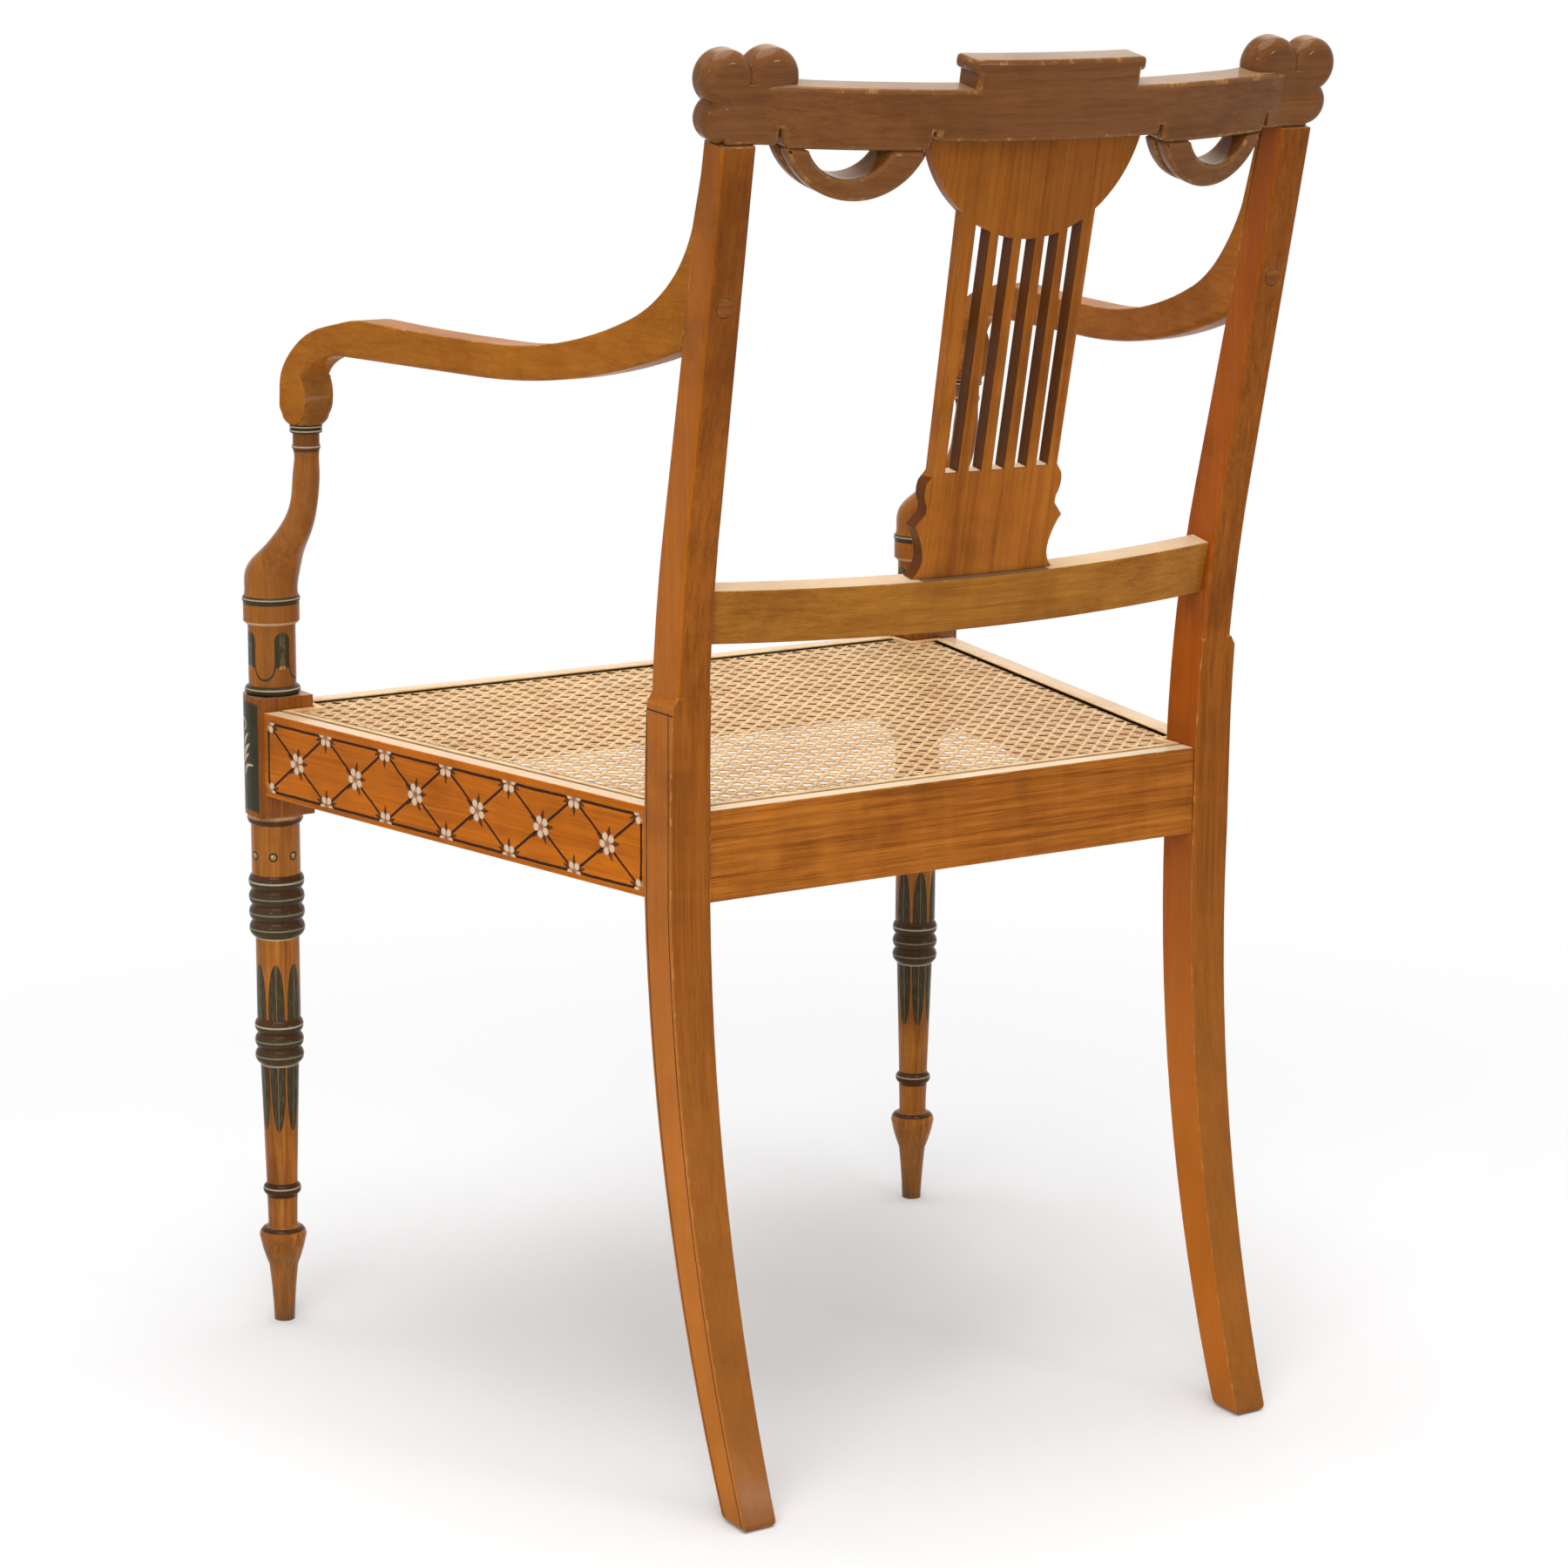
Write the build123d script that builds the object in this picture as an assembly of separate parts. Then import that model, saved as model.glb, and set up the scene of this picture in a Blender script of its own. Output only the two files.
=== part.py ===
from build123d import *
import math
import os

# Open-arm chair with a caned seat, sizes in millimetres.
# Worked out with y = 0 on the front legs' axes, +Y towards the back and +X to the sitter's left.

# Seat frame
SEAT_HEIGHT = 435.0
SEAT_DEPTH = 402.0
FRONT_LEG_SPREAD = 529.0
REAR_INNER_SPREAD = 369.0
RAIL_HEIGHT = 57.0
RAIL_THICKNESS = 22.0
FRONT_RAIL_SET_BACK = 5.0
REAR_RAIL_SET_IN = 1.5
SIDE_RAIL_SET_IN = 2.6

# Mortise and tenon joints
JOINT_CLEARANCE = 0.15
RAIL_TENON_THICKNESS = 8.0
RAIL_TENON_LENGTH = 13.0
RAIL_TENON_SHOULDER = 8.5
REAR_TENON_SETBACK = 4.0

# Rear legs and stiles
LEG_WIDTH = 28.4
LEG_DEPTH = 31.2
FOOT_WIDTH = 23.2
FOOT_DEPTH = 26.0
FOOT_TOE_IN = 5.5
SABRE_SWEEP = 70.5
LEDGE_HEIGHT = 66.0
LEDGE_SLOPE = 6.0
STILE_WIDTH = 23.6
STILE_DEPTH = 30.0
STILE_HEAD_DEPTH = 20.5
STILE_SPLAY = 1.06
STILE_EDGE_RADIUS = 3.5
BACK_RAKE = 11.0
BACK_BEND_RADIUS = 924.0
STILE_TOP = 317.0
STILE_TENON_WIDTH = 14.0
STILE_TENON_THICKNESS = 9.0
STILE_TENON_LENGTH = 20.0

# Front legs
BLOCK_SIZE = 40.0
BLOCK_ROUND = 19.5
BLOCK_RISE = 9.0
BLOCK_HEIGHT = 82.0
TOE_RADIUS = 7.0
TOE_HEIGHT = 40.0
TOE_TOP_RADIUS = 10.0
BULB_RADIUS = 16.2
BULB_HEIGHT = 61.5
BULB_TOP_HEIGHT = 68.0
ANKLE_RADIUS = 10.0
ANKLE_RING_RADIUS = 13.1
ANKLE_RING_HEIGHT = 95.0
ANKLE_RING_WIDTH = 8.0
SHAFT_LOW_RADIUS = 10.6
SHAFT_TOP_RADIUS = 13.2
LOW_RINGS_DROP = 176.0
LOW_RINGS_PITCH = 10.6
LOW_RINGS_COUNT = 3
LOW_RING_RADIUS = 16.7
WAIST_RADIUS = 14.9
HIGH_RINGS_DROP = 86.0
HIGH_RINGS_PITCH = 10.9
HIGH_RINGS_COUNT = 4
HIGH_RING_RADIUS = 19.0
RING_VALLEY_DEPTH = 2.6
DRUM_RADIUS = 16.6
DRUM_NECK_HEIGHT = 30.0

# Arm supports
PIN_RADIUS = 7.0
PIN_LENGTH = 13.0
HUSK_DRUM_RADIUS = 16.1
HUSK_RING_RADIUS = 18.9
HUSK_RING_WIDTH = 6.0
HUSK_DRUM_HEIGHT = 47.0
COLLAR_RADIUS = 19.0
COLLAR_HEIGHT = 16.0
COLLAR_RING_RADIUS = 19.6
COLLAR_RING_WIDTH = 4.0
OGEE_RISE = 105.0
OGEE_SWEEP = 57.0
OGEE_FOOT_RADIUS = 18.6
NECK_RADIUS = 8.8
NECK_RING_RADIUS = 9.5
NECK_RING_WIDTH = 3.4
NECK_GAP = 7.6
TOP_RING_RADIUS = 10.9
TOP_RING_WIDTH = 5.6
ARM_PIN_RADIUS = 5.0
ARM_PIN_LENGTH = 18.0

# Arms
ARM_WIDTH = 23.0
ARM_SCROLL_HEIGHT = 71.7
ARM_THICKNESS = 22.6
ARM_EDGE_RADIUS = 5.0
ARM_BEND_RADIUS = 160.0
ARM_RISE_GAP = 48.0
ARM_RISE_RADIUS = 347.0
ARM_RISE_ANGLE = 22.0
ARM_STILE_LIFT = 7.7
FLARE_SHARE = 0.83
FLARE_THICKNESS = 5.0
FLARE_TIP = 1.0
ARM_UNDER_RUN = 196.0
# distance behind the neck and drop below the top of the arm, down the nose of the scroll
SCROLL_CURVE = [
    (-11.4, 52.0),
    (-10.4, 41.4),
    (-5.6, 31.5),
    (1.4, 23.6),
    (11.0, 15.8),
    (24.4, 8.6),
    (45.0, 2.9),
]
SCROLL_BACK = 17.0
SCROLL_HOOK = 50.0
SCROLL_NOTCH = 41.2
KNOB_RADIUS = 19.2
SCREW_LIFT = 37.7
SCREW_RADIUS = 2.5
SCREW_HEAD_RADIUS = 4.6
SCREW_HEAD_LENGTH = 4.0
SCREW_BITE = 16.0
PELLET_RADIUS = 5.8
PELLET_LENGTH = 7.0

# Crest rail, measured in the raked plane of the back
CREST_BOW_RADIUS = 697.0
CREST_THICKNESS = 22.0
CREST_END_SET_IN = 1.5
CREST_HEIGHT = 35.0
CREST_CUSP_RISE = 9.5
TABLET_WIDTH = 117.5
TABLET_RISE = 9.0
TABLET_APRON_WIDTH = 162.0
TABLET_APRON_RISE = 4.0
TABLET_APRON_ROUND = 4.5
CAP_OVERHANG = 3.5
CAP_HEIGHT = 8.5
OUTER_LOBE_RADIUS = 17.0
INNER_LOBE_RADIUS = 18.0
LOWER_LOBE_RADIUS = 14.0
LOBE_RISE = 37.5
LOBE_PITCH = 30.0
LOBE_OVERHANG = 9.0
LOBE_EDGE_RADIUS = 8.0
LOBE_GAP = 0.3

# Swags under the crest
SWAG_CENTRE = 130.0
SWAG_RADIUS = 47.2
SWAG_DROP = 30.0
SWAG_SEAT_DROP = 1.5
SWAG_EYE_RADIUS = 27.7
SWAG_EYE_SHIFT = 4.5
SWAG_GROOVE_DEPTH = 1.2
SWAG_GROOVE_WIDTH = 3.0

# Lower back rail
BACK_RAIL_TOP = 46.2
BACK_RAIL_HEIGHT = 33.7
BACK_RAIL_THICKNESS = 16.5
BACK_RAIL_BOW_RADIUS = 920.0
BACK_RAIL_SET_IN = 3.7
BACK_TENON_THICKNESS = 7.0
BACK_TENON_HEIGHT = 22.0
BACK_TENON_LENGTH = 13.0

# Pierced splat
SPLAT_THICKNESS = 10.0
SPLAT_REAR = 11.0
SPLAT_FOOT_WIDTH = 92.0
SPLAT_HEAD_WIDTH = 96.6
SPLAT_BASE_HEIGHT = 67.5
SPLAT_BASE_WIDTH = 110.4
DISC_RADIUS = 78.7
DISC_DROP = 63.2
SLOT_COUNT = 5
SLOT_PITCH = 16.9
SLOT_FOOT_WIDTH = 8.6
SLOT_HEAD_WIDTH = 10.2
TONGUE_THICKNESS = 4.0
TONGUE_LENGTH = 8.0
TONGUE_SHOULDER = 8.0

# Caned seat
CANE_LAP = 9.0
CANE_LEG_GAP = 1.5
CANE_THICKNESS = 1.6
CANE_RECESS = 1.9
CANE_ROWS = 17
CANE_COLUMNS = 17
CANE_STRAND = 9.0
BINDER_WIDTH = 5.0
BINDER_THICKNESS = 1.0

# Places that follow from the sizes above
front_x = FRONT_LEG_SPREAD / 2
block_half = BLOCK_SIZE / 2
block_top = SEAT_HEIGHT + BLOCK_RISE
block_bottom = block_top - BLOCK_HEIGHT
rail_bottom = SEAT_HEIGHT - RAIL_HEIGHT
low_rings_bottom = block_bottom - LOW_RINGS_DROP
high_rings_bottom = block_bottom - HIGH_RINGS_DROP
support_collar = block_top + HUSK_DRUM_HEIGHT
ogee_foot = support_collar + COLLAR_HEIGHT + COLLAR_RING_WIDTH
ogee_top = ogee_foot + OGEE_RISE
arm_seat = ogee_top + NECK_RING_WIDTH + NECK_GAP + TOP_RING_WIDTH
arm_top = arm_seat + ARM_SCROLL_HEIGHT
arm_stile_low = arm_top + ARM_STILE_LIFT
screw_height = arm_top + SCREW_LIFT
leg_back_y = SEAT_DEPTH + LEG_DEPTH
leg_inner_x = REAR_INNER_SPREAD / 2
leg_outer_x = leg_inner_x + LEG_WIDTH
rake = math.radians(BACK_RAKE)
splay = math.tan(math.radians(STILE_SPLAY))
hinge = Vector(0, leg_back_y, SEAT_HEIGHT + BACK_BEND_RADIUS * math.tan(rake / 2))
back_up = Vector(0, math.sin(rake), math.cos(rake))
back_forward = Vector(0, -math.cos(rake), math.sin(rake))
# Local x runs to the sitter's left, y up the raked back and z forwards from the stiles' back faces.
back_plane = Plane(origin=hinge, x_dir=(1, 0, 0), z_dir=back_forward)
crest_bottom = STILE_TOP + TABLET_APRON_RISE
swag_seat = STILE_TOP - SWAG_SEAT_DROP


def stile_inner_x(height):
    """Half the distance between the stiles' inner faces at a height above the seat."""
    return leg_inner_x + (height - SEAT_HEIGHT) * splay


def back_point(up, forward):
    """A point of the side view, given along and square to the raked back."""
    return hinge + back_up * up + back_forward * forward


def stile_front(up):
    """A point of the side view on the stile's tapering front face."""
    return back_point(up, STILE_DEPTH + (STILE_HEAD_DEPTH - STILE_DEPTH) * up / STILE_TOP)


def side_prism(edges, start, end):
    """Extrude a side-view outline across the chair from one x to another."""
    face = make_face(edges)
    return extrude(Pos(start, 0, 0) * face, amount=end - start, dir=(1, 0, 0))


def block_from(low, high):
    """A box given by its two opposite corners."""
    size = [b - a for a, b in zip(low, high)]
    return Pos(*low) * Box(*size, align=(Align.MIN, Align.MIN, Align.MIN))


def turned(stations):
    """Revolve a chain of stretches about the z axis.

    Each station is (radius, height) for a straight stretch, or (radius, height, crown)
    for a bead or cove that passes through the crown radius half-way.
    """
    points = [(station[0], 0, station[1]) for station in stations]
    edges = [Line((0, 0, points[0][2]), points[0])]
    for start, end, station in zip(points, points[1:], stations[1:]):
        if len(station) == 3:
            middle = (station[2], 0, (start[2] + end[2]) / 2)
            edges.append(ThreePointArc(start, middle, end))
        else:
            edges.append(Line(start, end))
    edges.append(Line(points[-1], (0, 0, points[-1][2])))
    edges.append(Line((0, 0, points[-1][2]), (0, 0, points[0][2])))
    return revolve(make_face(edges), Axis.Z)


def bead_stack(radius, bottom, pitch, count, crown):
    """Stations of a row of equal beads that touch in valleys of one radius."""
    return [(radius, bottom + pitch * (i + 1), crown) for i in range(count)]


def grown(solid_low, solid_high, gap):
    """The corners of a box widened on every side by a clearance."""
    return [v - gap for v in solid_low], [v + gap for v in solid_high]


def tenon_and_mortise(low, high):
    """A square tenon and the slightly larger hole that takes it."""
    return block_from(low, high), block_from(*grown(low, high, JOINT_CLEARANCE))


def bent_plank(bow_radius, rear, thickness):
    """A plank bowed backwards in plan, as wide and tall as the back."""
    reach = 2 * FRONT_LEG_SPREAD
    outer = Cylinder(bow_radius, reach)
    inner = Cylinder(bow_radius - thickness, reach)
    return Pos(0, 0, bow_radius - rear) * (Rot(90, 0, 0) * (outer - inner))


# Seat rails

side_front_x = front_x + block_half - SIDE_RAIL_SET_IN
side_rear_x = leg_outer_x - SIDE_RAIL_SET_IN
side_run = SEAT_DEPTH - block_half
side_angle = math.atan((side_front_x - side_rear_x) / side_run)
side_width_x = RAIL_THICKNESS / math.cos(side_angle)
front_rail_front = -block_half + FRONT_RAIL_SET_BACK
front_rail_back = front_rail_front + RAIL_THICKNESS
rear_rail_back = leg_back_y - REAR_RAIL_SET_IN
rear_rail_front = rear_rail_back - RAIL_THICKNESS
block_inner_x = front_x - block_half
tenon_low = rail_bottom + RAIL_TENON_SHOULDER
tenon_high = SEAT_HEIGHT - RAIL_TENON_SHOULDER


def side_rail_inner_x(y):
    """The x of a side rail's inner face at a distance behind the front legs."""
    outer = side_front_x - (y - block_half) * math.tan(side_angle)
    return outer - side_width_x


def cane_outline(inset):
    """The seat panel's outline on the rails, notched round the four legs, less an inset."""
    lap = (CANE_LAP - inset) / math.cos(side_angle)
    clear = CANE_LEG_GAP + inset
    front = front_rail_back - CANE_LAP + inset
    rear = rear_rail_front + CANE_LAP - inset
    block_x, block_y = block_inner_x - clear, block_half + clear
    leg_x, leg_y = leg_inner_x - clear, SEAT_DEPTH - clear
    half = [
        (block_x, front),
        (block_x, block_y),
        (side_rail_inner_x(block_y) + lap, block_y),
        (side_rail_inner_x(leg_y) + lap, leg_y),
        (leg_x, leg_y),
        (leg_x, rear),
    ]
    return half + [(-x, y) for x, y in reversed(half)]


def plan_prism(points, low, high):
    """Extrude a plan outline between two heights."""
    face = make_face(Polyline(*points, close=True))
    return extrude(Pos(0, 0, low) * face, amount=high - low, dir=(0, 0, 1))


cane_bed = plan_prism(cane_outline(-JOINT_CLEARANCE), SEAT_HEIGHT - CANE_RECESS, SEAT_HEIGHT + CANE_RECESS)

front_tenon_y = (front_rail_front + front_rail_back) / 2 - RAIL_TENON_THICKNESS / 2
front_tenon_low = (block_inner_x, front_tenon_y, tenon_low)
front_tenon_high = (block_inner_x + RAIL_TENON_LENGTH, front_tenon_y + RAIL_TENON_THICKNESS, tenon_high)
front_tenon, front_mortise = tenon_and_mortise(front_tenon_low, front_tenon_high)

rear_tenon_y = rear_rail_back - REAR_TENON_SETBACK - RAIL_TENON_THICKNESS
rear_tenon_low = (leg_inner_x, rear_tenon_y, tenon_low)
rear_tenon_high = (leg_inner_x + RAIL_TENON_LENGTH, rear_tenon_y + RAIL_TENON_THICKNESS, tenon_high)
rear_tenon, rear_mortise = tenon_and_mortise(rear_tenon_low, rear_tenon_high)

side_front_tenon_x = side_front_x - side_width_x / 2
side_front_tenon, side_front_mortise = tenon_and_mortise(
    (side_front_tenon_x - RAIL_TENON_THICKNESS / 2, block_half - RAIL_TENON_LENGTH, tenon_low),
    (side_front_tenon_x + RAIL_TENON_THICKNESS / 2, block_half, tenon_high))
side_rear_tenon_x = side_rear_x - side_width_x / 2
side_rear_tenon, side_rear_mortise = tenon_and_mortise(
    (side_rear_tenon_x - RAIL_TENON_THICKNESS / 2, SEAT_DEPTH, tenon_low),
    (side_rear_tenon_x + RAIL_TENON_THICKNESS / 2, SEAT_DEPTH + RAIL_TENON_LENGTH, tenon_high))


def cross_rail(half, front, back, tenon):
    """A seat rail across the chair with a tenon at both ends, bedded for the cane."""
    body = block_from((-half, front, rail_bottom), (half, back, SEAT_HEIGHT))
    return body + tenon + mirror(tenon, Plane.YZ) - cane_bed


def side_rail():
    """The left seat rail, which slants in towards the back."""
    outline = [
        (side_front_x, block_half),
        (side_rear_x, SEAT_DEPTH),
        (side_rear_x - side_width_x, SEAT_DEPTH),
        (side_front_x - side_width_x, block_half),
    ]
    body = plan_prism(outline, rail_bottom, SEAT_HEIGHT)
    return body + side_front_tenon + side_rear_tenon - cane_bed


# Caned seat

def cane_gap(row, column):
    """The four corners of one gap of the weave, fanned out with the seat towards the front."""
    near = front_rail_back + CANE_STRAND / 2
    far = rear_rail_front - CANE_STRAND / 2
    pitch = (far - near + CANE_STRAND) / CANE_ROWS
    start = near + row * pitch
    corners = []
    for y, sides in ((start, (0, 1)), (start + pitch - CANE_STRAND, (1, 0))):
        half = side_rail_inner_x(y) - CANE_STRAND / 2
        step = (2 * half + CANE_STRAND) / CANE_COLUMNS
        left = -half + column * step
        corners += [(left + side * (step - CANE_STRAND), y) for side in sides]
    return corners


def clears_legs(corners):
    """Whether a gap of the weave keeps a strand's width from the legs."""
    for x, y in corners:
        by_block = abs(x) > block_inner_x - CANE_STRAND and y < block_half + CANE_STRAND
        by_leg = abs(x) > leg_inner_x - CANE_STRAND and y > SEAT_DEPTH - CANE_STRAND
        if by_block or by_leg:
            return False
    return True


def cane_seat():
    """The woven panel as a flat net: one sheet with a gap between every pair of strands."""
    every = [cane_gap(row, column) for row in range(CANE_ROWS) for column in range(CANE_COLUMNS)]
    gaps = [Wire(Polyline(*gap, close=True).edges()) for gap in every if clears_legs(gap)]
    rim = Wire(Polyline(*cane_outline(0), close=True).edges())
    sheet = Pos(0, 0, SEAT_HEIGHT - CANE_RECESS) * Face(rim, gaps)
    return extrude(sheet, amount=CANE_THICKNESS, dir=(0, 0, 1))


def cane_binder():
    """The flat cane laid over the holes all round the panel."""
    low = SEAT_HEIGHT - CANE_RECESS + CANE_THICKNESS
    outer = plan_prism(cane_outline(0), low, low + BINDER_THICKNESS)
    inner = plan_prism(cane_outline(BINDER_WIDTH), low, low + BINDER_THICKNESS)
    return outer - inner


# Rear legs with their stiles

def rear_leg_side_view():
    """Outline of the leg and stile seen from the side."""
    bend_reach = BACK_BEND_RADIUS * math.tan(rake / 2)
    heel = Vector(0, leg_back_y + SABRE_SWEEP, 0)
    toe = heel - Vector(0, FOOT_DEPTH, 0)
    back_low = Vector(0, leg_back_y, rail_bottom)
    back_bend = Vector(0, leg_back_y, SEAT_HEIGHT)
    front_low = Vector(0, SEAT_DEPTH, rail_bottom)
    slope = (stile_front(STILE_TOP) - stile_front(0)).normalized()
    front_corner = stile_front(0) + slope * ((SEAT_DEPTH - stile_front(0).Y) / slope.Y)
    front_reach = front_corner.Z - SEAT_HEIGHT
    front_bend = Vector(0, SEAT_DEPTH, SEAT_HEIGHT)
    front_bend_end = front_corner + slope * front_reach
    back_bend_end = back_point(bend_reach, 0)
    top_back = back_point(STILE_TOP, 0)
    top_front = stile_front(STILE_TOP)
    return [
        Line(toe, heel),
        TangentArc(back_low, heel, tangent=(0, 0, -1)),
        Line(back_low, back_bend),
        TangentArc(back_bend, back_bend_end, tangent=(0, 0, 1)),
        Line(back_bend_end, top_back),
        Line(top_back, top_front),
        Line(top_front, front_bend_end),
        TangentArc(front_bend, front_bend_end, tangent=(0, 0, 1)),
        Line(front_bend, front_low),
        TangentArc(front_low, toe, tangent=(0, 0, -1)),
    ]


def across_prism(points):
    """Extrude a front-view outline from the front legs' axes to well behind the chair."""
    face = make_face(Polyline(*[(x, 0, z) for x, z in points], close=True))
    return extrude(face, amount=leg_back_y + SABRE_SWEEP + STILE_TOP, dir=(0, 1, 0))


def rear_leg_front_view():
    """Outline of the left leg up to the sloping ledge, seen from the front."""
    ledge = SEAT_HEIGHT + LEDGE_HEIGHT
    shelf = ledge + LEDGE_SLOPE
    foot_inner = leg_inner_x - FOOT_TOE_IN
    return [
        (foot_inner, 0),
        (leg_inner_x, rail_bottom),
        (leg_inner_x, SEAT_HEIGHT),
        (stile_inner_x(shelf), shelf),
        (stile_inner_x(shelf) + STILE_WIDTH, shelf),
        (leg_outer_x, ledge),
        (leg_outer_x, rail_bottom),
        (foot_inner + FOOT_WIDTH, 0),
    ]


def stile_front_view():
    """Outline of the left stile above the seat, seen from the front."""
    head = back_point(STILE_TOP, STILE_DEPTH).Z + STILE_DEPTH
    return [
        (leg_inner_x, SEAT_HEIGHT),
        (stile_inner_x(head), head),
        (stile_inner_x(head) + STILE_WIDTH, head),
        (leg_inner_x + STILE_WIDTH, SEAT_HEIGHT),
    ]


stile_top_x = stile_inner_x(back_point(STILE_TOP, 0).Z) + STILE_WIDTH / 2
crest_rear = leg_inner_x ** 2 / (2 * CREST_BOW_RADIUS)
crest_flat_x = math.sqrt(2 * CREST_BOW_RADIUS * (crest_rear + CREST_END_SET_IN))
crest_mid = CREST_END_SET_IN + CREST_THICKNESS / 2
stile_tenon_low = (stile_top_x - STILE_TENON_WIDTH / 2, STILE_TOP, crest_mid - STILE_TENON_THICKNESS / 2)
stile_tenon_high = (
    stile_top_x + STILE_TENON_WIDTH / 2,
    STILE_TOP + STILE_TENON_LENGTH,
    crest_mid + STILE_TENON_THICKNESS / 2,
)
stile_tenon, stile_mortise = tenon_and_mortise(stile_tenon_low, stile_tenon_high)

back_rail_end_x = stile_inner_x(back_point(BACK_RAIL_TOP - BACK_RAIL_HEIGHT / 2, 0).Z)
back_rail_rear = back_rail_end_x ** 2 / (2 * BACK_RAIL_BOW_RADIUS) - BACK_RAIL_SET_IN
back_rail_mid = BACK_RAIL_SET_IN + BACK_RAIL_THICKNESS / 2
back_tenon_middle = BACK_RAIL_TOP - BACK_RAIL_HEIGHT / 2
back_tenon_root = back_rail_end_x - BACK_RAIL_THICKNESS
back_tenon, back_mortise = tenon_and_mortise(
    (back_tenon_root, back_tenon_middle - BACK_TENON_HEIGHT / 2, back_rail_mid - BACK_TENON_THICKNESS / 2),
    (back_rail_end_x + BACK_TENON_LENGTH, back_tenon_middle + BACK_TENON_HEIGHT / 2,
     back_rail_mid + BACK_TENON_THICKNESS / 2))


# Screws that hold the arms, driven level through the stiles from behind

screw_up = (screw_height - hinge.Z) / back_up.Z
screw_x = stile_inner_x(screw_height) + STILE_WIDTH / 2
screw_back_y = back_point(screw_up, 0).Y
screw_front_y = stile_front(screw_up).Y


def level_rod(radius, rear_y, length):
    """A round bar that lies along y at the arm screw's place, from its rear end forwards."""
    rod = Cylinder(radius, length, align=(Align.CENTER, Align.CENTER, Align.MIN))
    return Pos(screw_x, rear_y, screw_height) * (Rot(90, 0, 0) * rod)


behind_back = back_plane * block_from((0, -STILE_TOP, -STILE_TOP), (FRONT_LEG_SPREAD, 2 * STILE_TOP, 0))
pellet_overrun = PELLET_RADIUS
screw_rear_y = screw_back_y - PELLET_LENGTH
screw_length = screw_rear_y - screw_front_y + SCREW_BITE


def arm_screw(gap):
    """A countersunk wood screw's head and shank, or the hole for it."""
    head = level_rod(SCREW_HEAD_RADIUS + gap, screw_rear_y, SCREW_HEAD_LENGTH + gap)
    shank = level_rod(SCREW_RADIUS + gap, screw_rear_y, screw_length + gap)
    return head + shank


def arm_pellet(gap):
    """The wooden plug over a screw, cut off flush with the stile's raked back."""
    plug = level_rod(PELLET_RADIUS + gap, screw_back_y + pellet_overrun, PELLET_LENGTH + pellet_overrun)
    return plug - behind_back


def rear_leg():
    """The left sabre leg and raked stile in one piece, with its joints cut."""
    side = side_prism(rear_leg_side_view(), 0, FRONT_LEG_SPREAD)
    stile = side & across_prism(stile_front_view())
    back_edges = [
        edge for edge in stile.edges()
        if abs((edge.center() - hinge).dot(back_forward)) < STILE_DEPTH / 3
        and edge.length > STILE_DEPTH * 2
    ]
    stile = fillet(back_edges, STILE_EDGE_RADIUS)
    body = (side & across_prism(rear_leg_front_view())) + stile
    body = body + back_plane * stile_tenon
    body = body - rear_mortise - side_rear_mortise - back_plane * back_mortise
    return body - arm_screw(JOINT_CLEARANCE) - arm_pellet(JOINT_CLEARANCE)


# Front legs

def leg_block():
    """The square at the seat rails, rounded at its front outer corner."""
    low = (front_x - block_half, -block_half, block_bottom)
    high = (front_x + block_half, block_half, block_top)
    body = block_from(low, high)
    corner = [
        edge for edge in body.edges().filter_by(Axis.Z)
        if edge.center().X > front_x and edge.center().Y < 0
    ]
    return fillet(corner, BLOCK_ROUND)


def front_leg():
    """The left front leg: turned below the block, bored above for the arm support."""
    low_valley = LOW_RING_RADIUS - RING_VALLEY_DEPTH
    high_valley = HIGH_RING_RADIUS - RING_VALLEY_DEPTH
    ring_low = ANKLE_RING_HEIGHT - ANKLE_RING_WIDTH / 2
    ring_high = ANKLE_RING_HEIGHT + ANKLE_RING_WIDTH / 2
    drum_top = block_bottom - RING_VALLEY_DEPTH * 3
    stations = [
        (TOE_RADIUS, 0),
        (TOE_TOP_RADIUS, TOE_HEIGHT, (TOE_RADIUS + TOE_TOP_RADIUS) / 2 - 0.4),
        (BULB_RADIUS, BULB_HEIGHT, (TOE_TOP_RADIUS + BULB_RADIUS) / 2 + 0.6),
        (ANKLE_RADIUS + 1, BULB_TOP_HEIGHT, BULB_RADIUS - 0.8),
        (ANKLE_RADIUS, BULB_TOP_HEIGHT + 2),
        (SHAFT_LOW_RADIUS, ring_low, ANKLE_RADIUS + 0.2),
        (SHAFT_LOW_RADIUS, ring_high, ANKLE_RING_RADIUS),
        (SHAFT_TOP_RADIUS, low_rings_bottom),
        (low_valley, low_rings_bottom),
    ]
    stations += bead_stack(low_valley, low_rings_bottom, LOW_RINGS_PITCH, LOW_RINGS_COUNT, LOW_RING_RADIUS)
    stations += [
        (WAIST_RADIUS, stations[-1][1] + 1),
        (WAIST_RADIUS, high_rings_bottom),
        (high_valley, high_rings_bottom),
    ]
    stations += bead_stack(
        high_valley, high_rings_bottom, HIGH_RINGS_PITCH, HIGH_RINGS_COUNT, HIGH_RING_RADIUS)
    stations += [
        (DRUM_RADIUS, stations[-1][1] + 1),
        (DRUM_RADIUS, drum_top),
        (DRUM_RADIUS + 1, block_bottom, HIGH_RING_RADIUS),
        (DRUM_RADIUS, block_bottom + DRUM_NECK_HEIGHT),
    ]
    leg = Pos(front_x, 0, 0) * turned(stations) + leg_block()
    bore = Cylinder(PIN_RADIUS + JOINT_CLEARANCE, PIN_LENGTH + JOINT_CLEARANCE,
                    align=(Align.CENTER, Align.CENTER, Align.MAX))
    leg = leg - Pos(front_x, 0, block_top) * bore
    return leg - front_mortise - side_front_mortise


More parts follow.
